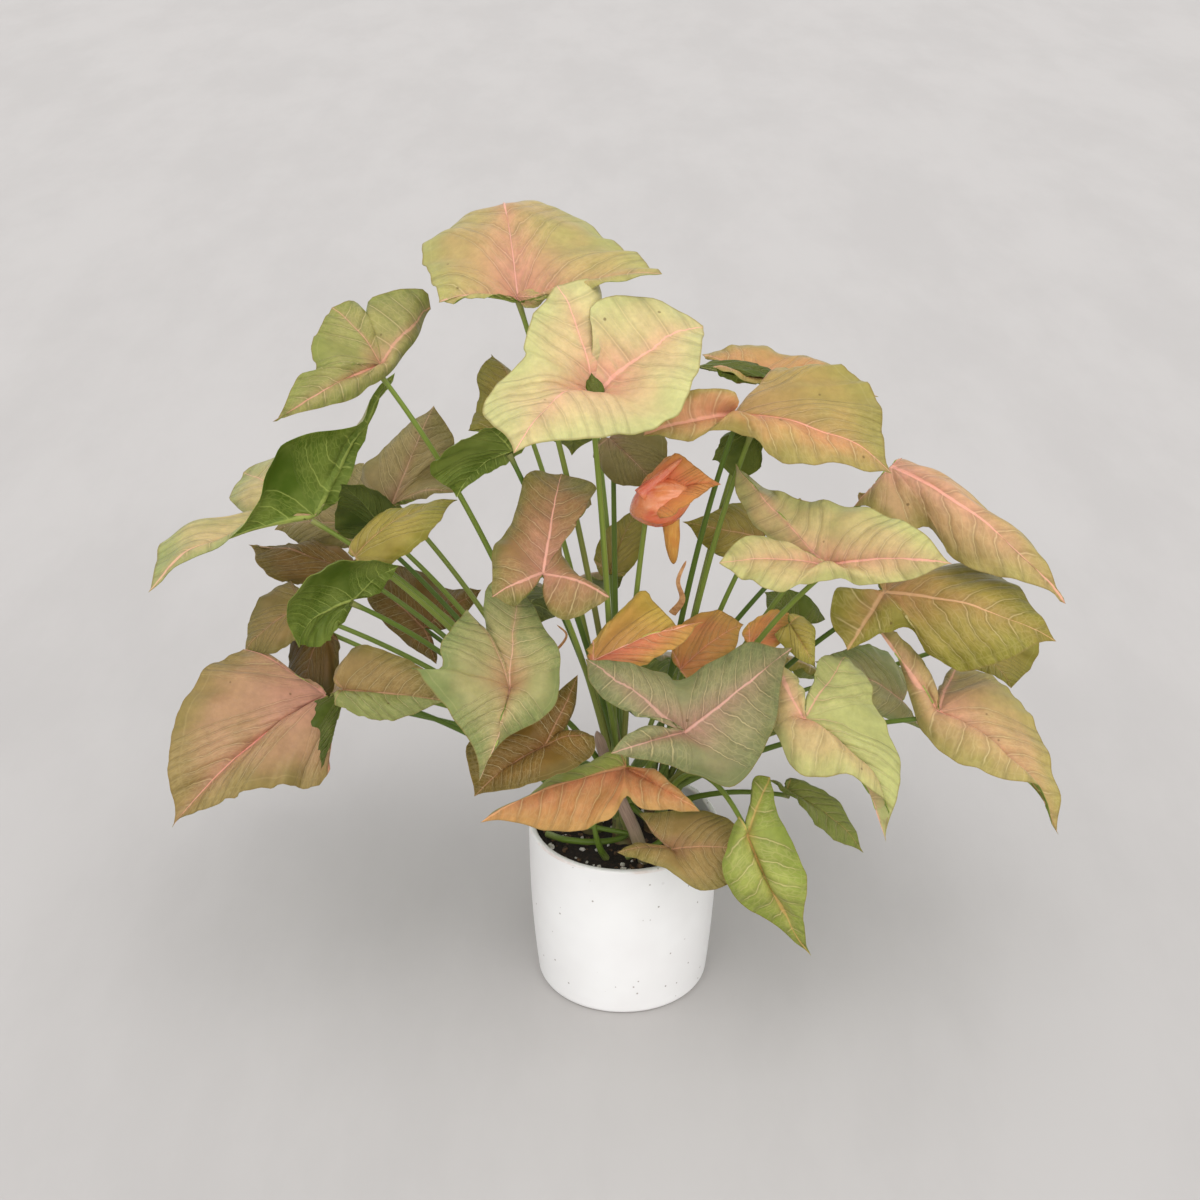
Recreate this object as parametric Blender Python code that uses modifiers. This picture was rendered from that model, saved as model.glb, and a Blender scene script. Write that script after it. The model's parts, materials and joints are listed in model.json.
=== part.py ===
"""Arrowhead plant in a plain white pot, made of named leaves, leafy stems, soil and pot."""

import math

import bmesh
import bpy
import numpy as np

# Driving dimensions, in millimetres
MM = 0.001
POT_HEIGHT = 122.0
POT_RIM_RADIUS = 65.0
POT_TAPER = 5.8
POT_TAPER_POWER = 2.2
POT_WALL = 4.3
POT_FLOOR = 7.0
POT_FOOT_ROUND = 4.0
POT_RIM_ROUND = 1.2
POT_INSIDE_HEIGHTS = (30.0, 60.0, 90.0)
POT_OUTSIDE_HEIGHTS = (95.0, 70.0, 50.0, 32.0, 17.0)
SOIL_TOP = 111.0
CLEARANCE = 0.3
TURN_STEPS = 48
BLADE_THICKNESS = 0.8
PETIOLE_ROOT_RADIUS = 3.0
PETIOLE_TOP_RADIUS = 2.0
PETIOLE_GAP = 0.35
PETIOLE_REACH = 3.0
PETIOLE_STEPS = 8
PETIOLE_PULL = (0.42, 0.42, 0.58)
PETIOLE_LIFT = 0.06
CROWN_FOOT = 80.0
CROWN_LENGTH = 66.0
CROWN_FOOT_RADIUS = 9.0
CROWN_TOP_RADIUS = 7.5
CROWN_SIDES = 12
CROWN_HOLE_GAP = 0.6
CROWN_HOLE_RISE = 1.0
CROWN_RING = 5.0
ROOT_TURN = 2.4
FIRST_ROOT_HEIGHT = 118.0
ROOT_STEP = 6.0
CROWNS = {"left": (-22.0, 4.0), "mid": (0.0, -10.0), "right": (22.0, 4.0), "back": (0.0, 24.0)}

# How finely a blade is divided: margin stretches a side, and rings from the knee out
OUTER_STRETCHES = 7
INNER_STRETCHES = 3
BLADE_RINGS = (0.5, 1.0)
FINE_STEPS = 12
RIPPLE_RATE = 4.5
RIPPLE_SHIFT = 1.3

COLOURS = {
    "pink": ((0.62, 0.45, 0.26), 0.5),
    "mauve": ((0.33, 0.27, 0.16), 0.55),
    "brown": ((0.24, 0.14, 0.07), 0.55),
    "olive": ((0.34, 0.31, 0.07), 0.5),
    "grey_green": ((0.30, 0.33, 0.17), 0.5),
    "green": ((0.12, 0.20, 0.04), 0.5),
    "orange": ((0.70, 0.27, 0.08), 0.45),
    "petiole": ((0.15, 0.20, 0.05), 0.45),
    "ceramic": ((0.80, 0.79, 0.77), 0.3),
    "soil": ((0.03, 0.025, 0.02), 0.95),
}

leaves = []


def leaf(name, tone, stem, knee, tip, left, left_inner, right, right_inner, arch, wave, bend=(0, 0, 0)):
    """Notes one leaf. Its points are in millimetres, and arch is the blade's rise at tip, side and lobe."""
    leaves.append(
        {
            "name": name,
            "tone": tone,
            "stem": stem,
            "knee": np.array(knee, float),
            "tip": np.array(tip, float),
            "left": (np.array(left, float), np.array(left_inner, float)),
            "right": (np.array(right, float), np.array(right_inner, float)),
            "arch": arch,
            "wave": wave,
            "bend": np.array(bend, float),
        }
    )


# Each side's points run from beside the tip round to the lobe's end, and then in along the cleft.
# Left is the side met first when turning counter-clockwise from the tip on the upper face.
leaf("leaf_crown_top", "pink", "mid",
     knee=(-65, 0, 490), tip=(-80, 110, 505),
     left=[(-105, 95, 510), (-125, 45, 510), (-110, -25, 500)],
     left_inner=[(-80, -15, 500)],
     right=[(-45, 105, 515), (-15, 60, 515), (20, -25, 515)],
     right_inner=[(0, -30, 515), (-25, -25, 505)],
     arch=(36, 16, 4), wave=1)
leaf("leaf_centre_large", "pink", "mid",
     knee=(-20, -60, 450), tip=(-60, -140, 455),
     left=[(-40, -135, 455), (-15, -130, 455), (25, -100, 455), (40, -70, 470), (45, -35, 490)],
     left_inner=[(15, -20, 500), (-20, -35, 500), (-15, -45, 480)],
     right=[(-75, -125, 460), (-80, -110, 465), (-70, -90, 475), (-60, -75, 480), (-60, -60, 485),
            (-55, -45, 495), (-40, -30, 510)],
     right_inner=[(-20, -20, 510), (-15, -20, 495), (-25, -45, 480)],
     arch=(16, 8, 8), wave=3)
leaf("leaf_upper_left", "pink", "left",
     knee=(-150, 0, 450), tip=(-205, -50, 435),
     left=[(-170, -35, 440), (-145, -5, 445), (-130, 20, 460), (-120, 35, 475)],
     left_inner=[(-125, 40, 485), (-140, 40, 485), (-160, 35, 480), (-155, 20, 465)],
     right=[(-195, -35, 455), (-185, -25, 455), (-190, -5, 465), (-180, 20, 480)],
     right_inner=[(-165, 30, 480), (-155, 15, 465)],
     arch=(8, 6, 6), wave=1)
leaf("leaf_left_folded", "green", "left",
     knee=(-200, 20, 340), tip=(-295, -40, 325),
     left=[(-255, -25, 340), (-235, -10, 355), (-220, 0, 385), (-210, 5, 400), (-175, 15, 405),
           (-160, 25, 420), (-145, 30, 435)],
     left_inner=[(-165, 30, 395), (-180, 25, 360)],
     right=[(-295, 10, 330), (-250, 40, 330), (-265, 70, 330), (-260, 95, 340)],
     right_inner=[(-235, 100, 350), (-215, 60, 340)],
     arch=(8, 8, 4), wave=1)
leaf("leaf_left_mauve", "mauve", "left",
     knee=(-155, 60, 330), tip=(-130, 110, 380),
     left=[(-150, 100, 370), (-160, 90, 360), (-175, 80, 350), (-185, 85, 325)],
     left_inner=[(-170, 70, 320)],
     right=[(-120, 105, 370), (-115, 95, 360), (-120, 80, 345), (-110, 30, 355)],
     right_inner=[(-130, 40, 345)],
     arch=(8, 6, 4), wave=1)
leaf("leaf_left_inner", "mauve", "left",
     knee=(-175, 100, 295), tip=(-245, 125, 285),
     left=[(-225, 105, 280), (-210, 100, 280), (-190, 90, 285)],
     left_inner=[(-180, 90, 285)],
     right=[(-230, 140, 300), (-210, 155, 315), (-185, 150, 325)],
     right_inner=[(-175, 120, 310)],
     arch=(8, 6, 4), wave=1)
leaf("leaf_left_dark", "green", "left",
     knee=(-155, 35, 320), tip=(-180, 15, 365),
     left=[(-160, 20, 360), (-150, 25, 345), (-145, 30, 330)],
     left_inner=[(-150, 35, 325)],
     right=[(-185, 25, 350), (-190, 35, 325), (-180, 40, 315)],
     right_inner=[(-170, 40, 310)],
     arch=(3, 3, 2), wave=1)
leaf("leaf_left_olive", "olive", "left",
     knee=(-170, -20, 330), tip=(-110, -10, 365),
     left=[(-130, -5, 360), (-155, 0, 350), (-175, -10, 335)],
     left_inner=[(-175, -15, 330)],
     right=[(-115, -30, 360), (-135, -35, 340), (-155, -30, 325)],
     right_inner=[(-165, -25, 325)],
     arch=(8, 6, 3), wave=1)
leaf("leaf_mid_left_turned", "green", "mid",
     knee=(-70, -15, 400), tip=(-105, -10, 370),
     left=[(-120, -25, 390), (-105, -30, 410), (-85, -30, 420)],
     left_inner=[(-70, -25, 420)],
     right=[(-90, -10, 380), (-75, -10, 390), (-55, -10, 405)],
     right_inner=[(-65, -12, 400)],
     arch=(6, 5, 4), wave=1, bend=(0, -20, 0))
leaf("leaf_behind_centre", "olive", "mid",
     knee=(-60, 40, 390), tip=(-85, 80, 430),
     left=[(-95, 70, 420), (-95, 60, 405), (-100, 30, 395)],
     left_inner=[(-80, 35, 390)],
     right=[(-70, 80, 415), (-50, 70, 405), (-40, 60, 390)],
     right_inner=[(-50, 50, 390)],
     arch=(6, 5, 4), wave=1)
leaf("leaf_mid_brown", "brown", "mid",
     knee=(-50, -75, 345), tip=(-40, -15, 385),
     left=[(-60, -20, 385), (-70, -40, 365), (-80, -60, 355), (-80, -95, 340)],
     left_inner=[(-65, -95, 335), (-55, -80, 340)],
     right=[(-20, -20, 380), (-20, -30, 375), (-40, -55, 350), (-10, -85, 335)],
     right_inner=[(-30, -95, 325), (-45, -90, 325)],
     arch=(8, 6, 4), wave=2)
leaf("leaf_front_left", "grey_green", "mid",
     knee=(-70, -110, 285), tip=(-85, -150, 250),
     left=[(-75, -140, 265), (-45, -125, 280), (-40, -110, 290), (-40, -95, 300), (-50, -80, 310),
           (-65, -55, 335)],
     left_inner=[(-85, -60, 330), (-85, -80, 310)],
     right=[(-90, -145, 265), (-105, -140, 290), (-120, -135, 310), (-125, -130, 310),
            (-110, -120, 305), (-110, -110, 315), (-95, -80, 325)],
     right_inner=[(-85, -85, 315), (-75, -100, 295)],
     arch=(12, 8, 6), wave=2, bend=(0, 25, 0))
leaf("leaf_front_brown", "brown", "mid",
     knee=(-50, -110, 245), tip=(-90, -130, 225),
     left=[(-65, -140, 235), (-35, -130, 240), (-20, -115, 245), (-20, -105, 250)],
     left_inner=[(-35, -100, 250)],
     right=[(-95, -125, 240), (-95, -115, 250), (-75, -105, 255), (-50, -90, 265), (-30, -75, 275)],
     right_inner=[(-30, -85, 265), (-40, -100, 245)],
     arch=(6, 5, 4), wave=1)
leaf("leaf_front_orange", "orange", "mid",
     knee=(0, -85, 215), tip=(-85, -125, 205),
     left=[(-65, -125, 200), (-35, -120, 190), (-10, -120, 200), (0, -110, 210), (10, -115, 205),
           (45, -120, 205)],
     left_inner=[(25, -105, 220), (10, -95, 220)],
     right=[(-65, -105, 205), (-40, -85, 210), (-15, -70, 215), (-5, -60, 210)],
     right_inner=[(0, -70, 215)],
     arch=(8, 6, 4), wave=1)
leaf("leaf_rim_right", "brown", "mid",
     knee=(30, -80, 150), tip=(75, -95, 160),
     left=[(70, -80, 170), (50, -65, 170), (10, -60, 165)],
     left_inner=[(15, -60, 155), (25, -70, 150)],
     right=[(65, -110, 145), (45, -110, 140), (25, -100, 150), (-5, -90, 155)],
     right_inner=[(10, -80, 155)],
     arch=(6, 5, 3), wave=1)
leaf("leaf_low_right", "olive", "right",
     knee=(75, -115, 185), tip=(115, -130, 105),
     left=[(110, -135, 140), (110, -125, 165), (95, -105, 195), (90, -90, 210)],
     left_inner=[(80, -90, 210), (75, -105, 195)],
     right=[(95, -130, 125), (70, -130, 145), (60, -125, 170), (70, -110, 195)],
     right_inner=[(70, -110, 190)],
     arch=(8, 6, 4), wave=1, bend=(0, 10, 60))
leaf("leaf_low_right_small", "green", "right",
     knee=(105, -50, 175), tip=(155, -70, 145),
     left=[(145, -55, 160), (135, -45, 170), (110, -40, 180)],
     left_inner=[(105, -45, 180)],
     right=[(135, -75, 155), (115, -70, 175), (95, -50, 185)],
     right_inner=[(100, -45, 180)],
     arch=(5, 4, 2), wave=1)
leaf("leaf_right_pale", "pink", "right",
     knee=(110, -85, 250), tip=(160, -120, 190),
     left=[(165, -115, 210), (170, -100, 225), (160, -70, 240), (155, -50, 260), (140, -40, 270)],
     left_inner=[(125, -40, 270), (115, -65, 260)],
     right=[(160, -120, 210), (145, -125, 225), (130, -125, 235), (105, -115, 230), (95, -95, 240),
            (90, -70, 245), (95, -50, 270)],
     right_inner=[(105, -60, 265), (110, -75, 260)],
     arch=(10, 8, 5), wave=2)
leaf("leaf_front_centre", "grey_green", "mid",
     knee=(35, -110, 255), tip=(100, -70, 290),
     left=[(75, -70, 295), (50, -80, 285), (30, -90, 280), (20, -85, 285), (-25, -90, 295)],
     left_inner=[(-20, -100, 280), (0, -110, 270), (25, -110, 265)],
     right=[(95, -80, 270), (90, -100, 250), (65, -130, 230), (40, -130, 240), (15, -135, 250),
            (-10, -135, 255)],
     right_inner=[(0, -130, 265), (15, -120, 265)],
     arch=(8, 7, 6), wave=1)
leaf("leaf_new_orange", "orange", "mid",
     knee=(-20, -65, 280), tip=(45, -50, 300),
     left=[(35, -50, 295), (20, -40, 305), (10, -30, 310), (-20, -55, 290)],
     left_inner=[(-25, -60, 285)],
     right=[(35, -60, 290), (10, -70, 280), (-10, -75, 275)],
     right_inner=[(-20, -75, 275)],
     arch=(5, 4, 2), wave=1)
leaf("leaf_new_curled", "orange", "mid",
     knee=(10, -20, 365), tip=(55, -30, 385),
     left=[(40, -25, 395), (30, -20, 400), (20, -10, 390)],
     left_inner=[(10, -10, 375)],
     right=[(40, -45, 380), (25, -50, 370), (15, -30, 365)],
     right_inner=[(10, -25, 365)],
     arch=(6, 6, 2), wave=1)
leaf("leaf_right_pointed", "pink", "right",
     knee=(120, -75, 350), tip=(185, -100, 365),
     left=[(170, -85, 380), (140, -55, 380), (100, -30, 375), (65, -10, 390)],
     left_inner=[(70, -20, 370), (85, -40, 355), (105, -60, 350)],
     right=[(170, -100, 355), (145, -100, 350), (120, -90, 350), (85, -100, 345), (55, -80, 355)],
     right_inner=[(65, -70, 365), (85, -65, 365), (100, -70, 355)],
     arch=(8, 6, 5), wave=2)
leaf("leaf_upper_right", "pink", "right",
     knee=(65, -20, 425), tip=(155, -50, 405),
     left=[(155, -30, 420), (150, -5, 435), (130, 15, 445), (100, 25, 440)],
     left_inner=[(90, 15, 430), (75, -5, 425)],
     right=[(145, -60, 405), (125, -60, 410), (95, -60, 410), (80, -50, 420), (60, -40, 425),
            (35, -50, 420), (10, -50, 425)],
     right_inner=[(15, -40, 435), (40, -30, 445), (65, -20, 440)],
     arch=(12, 8, 5), wave=2)
leaf("leaf_upper_right_back", "pink", "right",
     knee=(85, 50, 420), tip=(160, 50, 415),
     left=[(135, 70, 425), (100, 85, 430), (75, 85, 435), (50, 70, 430)],
     left_inner=[(65, 55, 430)],
     right=[(135, 40, 420), (100, 35, 425), (55, 35, 435)],
     right_inner=[(65, 45, 425)],
     arch=(6, 5, 4), wave=1)
leaf("leaf_right_turned", "green", "right",
     knee=(80, -5, 410), tip=(55, 0, 390),
     left=[(60, -5, 405), (70, -5, 410)],
     left_inner=[(75, -5, 415)],
     right=[(70, 15, 370), (85, 15, 375), (85, 5, 390)],
     right_inner=[(85, 0, 400)],
     arch=(3, 3, 2), wave=0)
leaf("leaf_far_right_long", "pink", "right",
     knee=(170, 20, 375), tip=(270, -40, 315),
     left=[(260, -25, 335), (235, 5, 350), (205, 25, 360), (180, 45, 370)],
     left_inner=[(175, 35, 370)],
     right=[(240, -40, 325), (210, -30, 330), (190, -10, 345), (175, -10, 340), (155, 0, 355),
            (145, 5, 355)],
     right_inner=[(150, 10, 360), (165, 20, 370)],
     arch=(14, 6, 4), wave=1)
leaf("leaf_right_olive", "olive", "right",
     knee=(165, -20, 305), tip=(265, -50, 290),
     left=[(260, -40, 300), (245, -15, 310), (225, 10, 310), (200, 20, 300), (175, 35, 300)],
     left_inner=[(165, 15, 305)],
     right=[(240, -60, 280), (210, -60, 270), (190, -50, 280), (175, -40, 290), (140, -50, 280)],
     right_inner=[(130, -35, 295), (135, -20, 310), (150, -15, 305)],
     arch=(12, 8, 5), wave=2)
leaf("leaf_right_olive_back", "olive", "right",
     knee=(230, 50, 235), tip=(265, 30, 210),
     left=[(280, 45, 215), (285, 55, 230), (260, 75, 245)],
     left_inner=[(240, 65, 240)],
     right=[(245, 30, 220), (230, 30, 225), (210, 35, 235)],
     right_inner=[(215, 45, 235)],
     arch=(5, 4, 3), wave=1)
leaf("leaf_far_right_low", "pink", "right",
     knee=(200, -50, 235), tip=(275, -90, 175),
     left=[(275, -75, 195), (265, -45, 220), (250, -20, 240), (235, -10, 240), (220, 0, 240)],
     left_inner=[(210, -10, 240), (200, -30, 235)],
     right=[(255, -90, 205), (235, -90, 210), (210, -80, 215), (190, -60, 225), (180, -40, 255),
            (160, -30, 285)],
     right_inner=[(175, -30, 280), (190, -40, 265)],
     arch=(10, 8, 5), wave=2)
leaf("leaf_right_grey", "grey_green", "right",
     knee=(185, 0, 215), tip=(130, 0, 245),
     left=[(140, -15, 230), (155, -20, 220), (200, 5, 190)],
     left_inner=[(190, 5, 205)],
     right=[(145, 15, 245), (170, 30, 240), (195, 35, 215)],
     right_inner=[(190, 20, 215)],
     arch=(5, 4, 3), wave=1)
leaf("leaf_mid_olive", "olive", "right",
     knee=(90, 20, 325), tip=(40, 10, 340),
     left=[(50, 10, 325), (65, 10, 315), (90, 20, 310)],
     left_inner=[(95, 20, 315)],
     right=[(60, 20, 345), (75, 30, 345), (95, 40, 335)],
     right_inner=[(95, 30, 335)],
     arch=(5, 4, 3), wave=1)
leaf("leaf_new_green_upper", "green", "right",
     knee=(115, 20, 260), tip=(95, 30, 280),
     left=[(95, 15, 275), (110, 10, 255)],
     left_inner=[(115, 10, 255)],
     right=[(110, 35, 280), (125, 30, 275), (135, 30, 260)],
     right_inner=[(125, 25, 260)],
     arch=(3, 3, 2), wave=0)
leaf("leaf_new_green_lower", "olive", "right",
     knee=(105, -25, 285), tip=(120, -45, 265),
     left=[(120, -40, 275), (120, -30, 285), (115, -15, 285)],
     left_inner=[(105, -20, 290)],
     right=[(110, -45, 270), (100, -35, 275), (95, -30, 280)],
     right_inner=[(100, -30, 285)],
     arch=(3, 3, 2), wave=0, bend=(40, -20, -10))
leaf("leaf_new_yellow_small", "orange", "right",
     knee=(80, -25, 270), tip=(105, -10, 285),
     left=[(95, -5, 285), (80, -15, 280)],
     left_inner=[(75, -20, 275)],
     right=[(105, -20, 275), (95, -30, 270), (90, -30, 265)],
     right_inner=[(85, -30, 270)],
     arch=(3, 3, 2), wave=0)
leaf("leaf_new_yellow", "orange", "right",
     knee=(35, -40, 260), tip=(75, -15, 280),
     left=[(60, -5, 285), (40, -10, 280), (30, -30, 270)],
     left_inner=[(30, -35, 265)],
     right=[(70, -30, 270), (55, -40, 260), (40, -45, 255)],
     right_inner=[(40, -45, 255)],
     arch=(5, 4, 2), wave=0)
leaf("leaf_under_centre", "mauve", "mid",
     knee=(-10, 30, 390), tip=(20, 0, 370),
     left=[(25, 5, 380), (25, 20, 395), (10, 40, 395)],
     left_inner=[(0, 40, 395)],
     right=[(5, 0, 370), (-10, 10, 370), (-20, 25, 380)],
     right_inner=[(-15, 30, 390)],
     arch=(6, 5, 3), wave=1)
leaf("leaf_mid_yellow", "olive", "mid",
     knee=(-10, 40, 290), tip=(10, 70, 325),
     left=[(0, 65, 320), (-15, 55, 310), (-20, 40, 300)],
     left_inner=[(-15, 35, 290)],
     right=[(15, 55, 315), (10, 45, 300), (0, 35, 290)],
     right_inner=[(-5, 35, 290)],
     arch=(4, 4, 2), wave=0)
leaf("leaf_left_brown_back", "brown", "left",
     knee=(-180, 60, 280), tip=(-260, 100, 285),
     left=[(-250, 80, 275), (-230, 65, 270), (-190, 55, 275)],
     left_inner=[(-185, 55, 275)],
     right=[(-245, 95, 285), (-225, 90, 290), (-200, 85, 290), (-185, 75, 285)],
     right_inner=[(-180, 65, 285)],
     arch=(5, 4, 3), wave=1)
leaf("leaf_left_turned", "green", "left",
     knee=(-170, -40, 310), tip=(-200, -80, 300),
     left=[(-205, -80, 320), (-195, -80, 340), (-170, -65, 350), (-140, -45, 335)],
     left_inner=[(-155, -40, 315)],
     right=[(-190, -65, 290), (-180, -50, 295)],
     right_inner=[(-175, -50, 300)],
     arch=(8, 8, 4), wave=1)
leaf("leaf_left_reddish", "mauve", "left",
     knee=(-215, 30, 270), tip=(-250, 5, 250),
     left=[(-235, 0, 250), (-220, 5, 255), (-210, 10, 260)],
     left_inner=[(-210, 25, 265)],
     right=[(-250, 25, 260), (-245, 40, 270), (-225, 50, 280)],
     right_inner=[(-215, 40, 275)],
     arch=(5, 4, 3), wave=1)
leaf("leaf_left_low_dark", "brown", "left",
     knee=(-200, 30, 255), tip=(-215, -10, 220),
     left=[(-195, -10, 225), (-190, 5, 235), (-190, 15, 250)],
     left_inner=[(-195, 25, 255)],
     right=[(-225, 15, 230), (-225, 25, 240), (-215, 40, 260)],
     right_inner=[(-205, 35, 260)],
     arch=(4, 4, 3), wave=1)
leaf("leaf_left_low_green", "olive", "left",
     knee=(-180, -40, 245), tip=(-115, -70, 255),
     left=[(-125, -60, 270), (-155, -40, 275), (-175, -30, 270), (-185, -30, 255)],
     left_inner=[(-185, -35, 250)],
     right=[(-140, -75, 245), (-165, -65, 240), (-185, -50, 240)],
     right_inner=[(-185, -45, 245)],
     arch=(6, 5, 3), wave=1)
leaf("leaf_mid_left_brown", "brown", "left",
     knee=(-140, 85, 225), tip=(-180, 120, 245),
     left=[(-180, 105, 235), (-160, 85, 220), (-130, 60, 210)],
     left_inner=[(-130, 70, 215)],
     right=[(-165, 125, 255), (-140, 120, 250), (-125, 110, 245), (-100, 105, 245)],
     right_inner=[(-110, 90, 235), (-125, 85, 225)],
     arch=(5, 4, 3), wave=1)
leaf("leaf_far_left_low", "mauve", "left",
     knee=(-195, -20, 230), tip=(-285, -80, 175),
     left=[(-260, -90, 190), (-235, -85, 200), (-215, -80, 200), (-200, -70, 190), (-190, -60, 195)],
     left_inner=[(-190, -40, 210)],
     right=[(-290, -70, 200), (-290, -50, 220), (-285, -35, 235), (-270, -15, 250), (-250, 0, 255)],
     right_inner=[(-225, -5, 245)],
     arch=(14, 10, 6), wave=2, bend=(0, 0, 35))

# The plant's far side, which carries leaves of one plain outline: knee, heading, droop and length
FLAT_OUTLINE = [(0.78, 0.16), (0.48, 0.32), (0.12, 0.42), (-0.2, 0.43), (-0.44, 0.3)]
FLAT_CLEFT = [(-0.25, 0.12)]
BACK_LEAVES = {
    "leaf_back_upper": ("olive", (-20, 120, 380), 100, 35, 120),
    "leaf_back_left": ("mauve", (-50, 140, 225), 110, 40, 115),
    "leaf_back_right": ("pink", (150, 130, 290), 60, 35, 125),
    "leaf_back_middle": ("grey_green", (40, 120, 180), 85, 35, 110),
    "leaf_back_low_right": ("olive", (150, 110, 170), 50, 35, 110),
    "leaf_back_low_left": ("mauve", (-215, 120, 150), 130, 25, 105),
}


def add_back_leaves():
    for name, (tone, knee, heading, droop, length) in BACK_LEAVES.items():
        turn = math.radians(heading)
        dip = math.radians(droop)
        along = np.array([math.cos(turn) * math.cos(dip), math.sin(turn) * math.cos(dip), -math.sin(dip)])
        aside = np.array([-math.sin(turn), math.cos(turn), 0.0])

        def place(points, side):
            return [np.array(knee) + length * (along * x + aside * y * side) for x, y in points]

        leaf(name, tone, "back", knee, place([(1.0, 0.0)], 1)[0],
             left=place(FLAT_OUTLINE, 1), left_inner=place(FLAT_CLEFT, 1),
             right=place(FLAT_OUTLINE, -1), right_inner=place(FLAT_CLEFT, -1),
             arch=(10, 7, 4), wave=2)


def unit(vector):
    return vector / max(np.linalg.norm(vector), 1e-9)


def smooth_line(points, count):
    """A smooth curve through the points, as count points evenly spaced after the first."""
    ends = np.vstack([2 * points[0] - points[1], points, 2 * points[-1] - points[-2]])
    fine = [points[0]]
    for i in range(1, len(ends) - 2):
        before, start, end, after = ends[i - 1:i + 3]
        for step in range(1, FINE_STEPS + 1):
            t = step / FINE_STEPS
            fine.append(0.5 * (2 * start + (end - before) * t
                               + (2 * before - 5 * start + 4 * end - after) * t ** 2
                               + (3 * start - before - 3 * end + after) * t ** 3))
    fine = np.array(fine)
    run = np.concatenate([[0.0], np.cumsum(np.linalg.norm(np.diff(fine, axis=0), axis=1))])
    at = np.linspace(0.0, run[-1], count + 1)[1:]
    return np.column_stack([np.interp(at, run, fine[:, axis]) for axis in range(3)])


def half_margin(spec, side):
    """One side's margin from the tip to just before the knee, with how far round each point is, 0 to 3."""
    outer, inner = spec[side]
    lobe = outer[-1]
    outside = smooth_line(np.vstack([spec["tip"], outer]), OUTER_STRETCHES)
    cleft = smooth_line(np.vstack([lobe, inner, spec["knee"]]), INNER_STRETCHES)[:-1]
    outside_way = 2 * np.arange(1, OUTER_STRETCHES + 1) / OUTER_STRETCHES
    cleft_way = 2 + np.arange(1, INNER_STRETCHES) / INNER_STRETCHES
    return np.vstack([outside, cleft]), np.concatenate([outside_way, cleft_way])


def blade_surface(spec, number):
    """The blade's middle surface: its points, the knee first and then each ring, and its triangles."""
    knee = spec["knee"]
    left, left_way = half_margin(spec, "left")
    right, right_way = half_margin(spec, "right")
    margin = np.vstack([left[::-1], spec["tip"], right])
    way = np.concatenate([left_way[::-1], [0.0], right_way])
    side = np.concatenate([np.ones(len(left)), [0.0], -np.ones(len(right))])
    fan = np.cross(margin[1:] - knee, margin[:-1] - knee)
    last = len(fan)
    upward = np.array([unit(fan[max(0, i - 3):min(last, i + 3)].sum(axis=0)) for i in range(last + 1)])
    arch = np.interp(way, [0, 1, 2, 3], [*spec["arch"], 0])
    fade = np.clip(way, 0, 1) * np.clip((3 - way) * 2, 0, 1)
    ripple = spec["wave"] * np.sin(RIPPLE_RATE * way * side + RIPPLE_SHIFT * number) * fade
    points = [knee]
    for share in BLADE_RINGS:
        rise = arch * 4 * share * (1 - share) + ripple * share ** 3
        points.extend(knee + (margin - knee) * share + upward * rise[:, None])
    triangles = []
    around = len(margin)
    for i in range(around - 1):
        triangles.append((0, i + 2, i + 1))
        for ring in range(len(BLADE_RINGS) - 1):
            first = 1 + ring * around + i
            triangles.append((first, first + 1, first + 1 + around))
            triangles.append((first, first + 1 + around, first + around))
    return np.array(points), triangles


def build_blade(spec, number):
    points, triangles = blade_surface(spec, number)
    shape = bmesh.new()
    corners = [shape.verts.new(point * MM) for point in points]
    for triangle in triangles:
        shape.faces.new([corners[i] for i in triangle])
    blade = add_object(spec["name"], shape, "leaf_" + spec["tone"])
    thick = blade.modifiers.new("thickness", "SOLIDIFY")
    thick.thickness = BLADE_THICKNESS * MM
    thick.offset = 0.0
    thick.use_rim = True


def petiole_line(spec, number):
    """The petiole's centre line, from inside its stem up to just under the knee."""
    knee = spec["knee"]
    tip_corner = OUTER_STRETCHES + INNER_STRETCHES
    before, ridge, after = blade_surface(spec, number)[0][tip_corner - 1:tip_corner + 2] - knee
    upward = unit(unit(np.cross(ridge, before)) + unit(np.cross(after, ridge)))
    turn = ROOT_TURN * number
    crown_x, crown_y = CROWNS[spec["stem"]]
    root = np.array([
        crown_x + CROWN_RING * math.cos(turn),
        crown_y + CROWN_RING * math.sin(turn),
        FIRST_ROOT_HEIGHT + ROOT_STEP * (number % 5),
    ])
    span = knee - root
    lift = np.array([0.0, 0.0, PETIOLE_LIFT * np.linalg.norm(span)])
    pull = root + span * PETIOLE_PULL + lift + spec["bend"]
    slant = np.dot(unit(knee - pull), upward)
    drop = BLADE_THICKNESS / 2 + PETIOLE_GAP + PETIOLE_TOP_RADIUS * math.sqrt(1 - slant ** 2)
    end = knee + unit(ridge) * PETIOLE_REACH - upward * drop
    t = np.linspace(0.0, 1.0, PETIOLE_STEPS + 1)[:, None]
    return root * (1 - t) ** 2 + pull * 2 * t * (1 - t) + end * t ** 2


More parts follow.
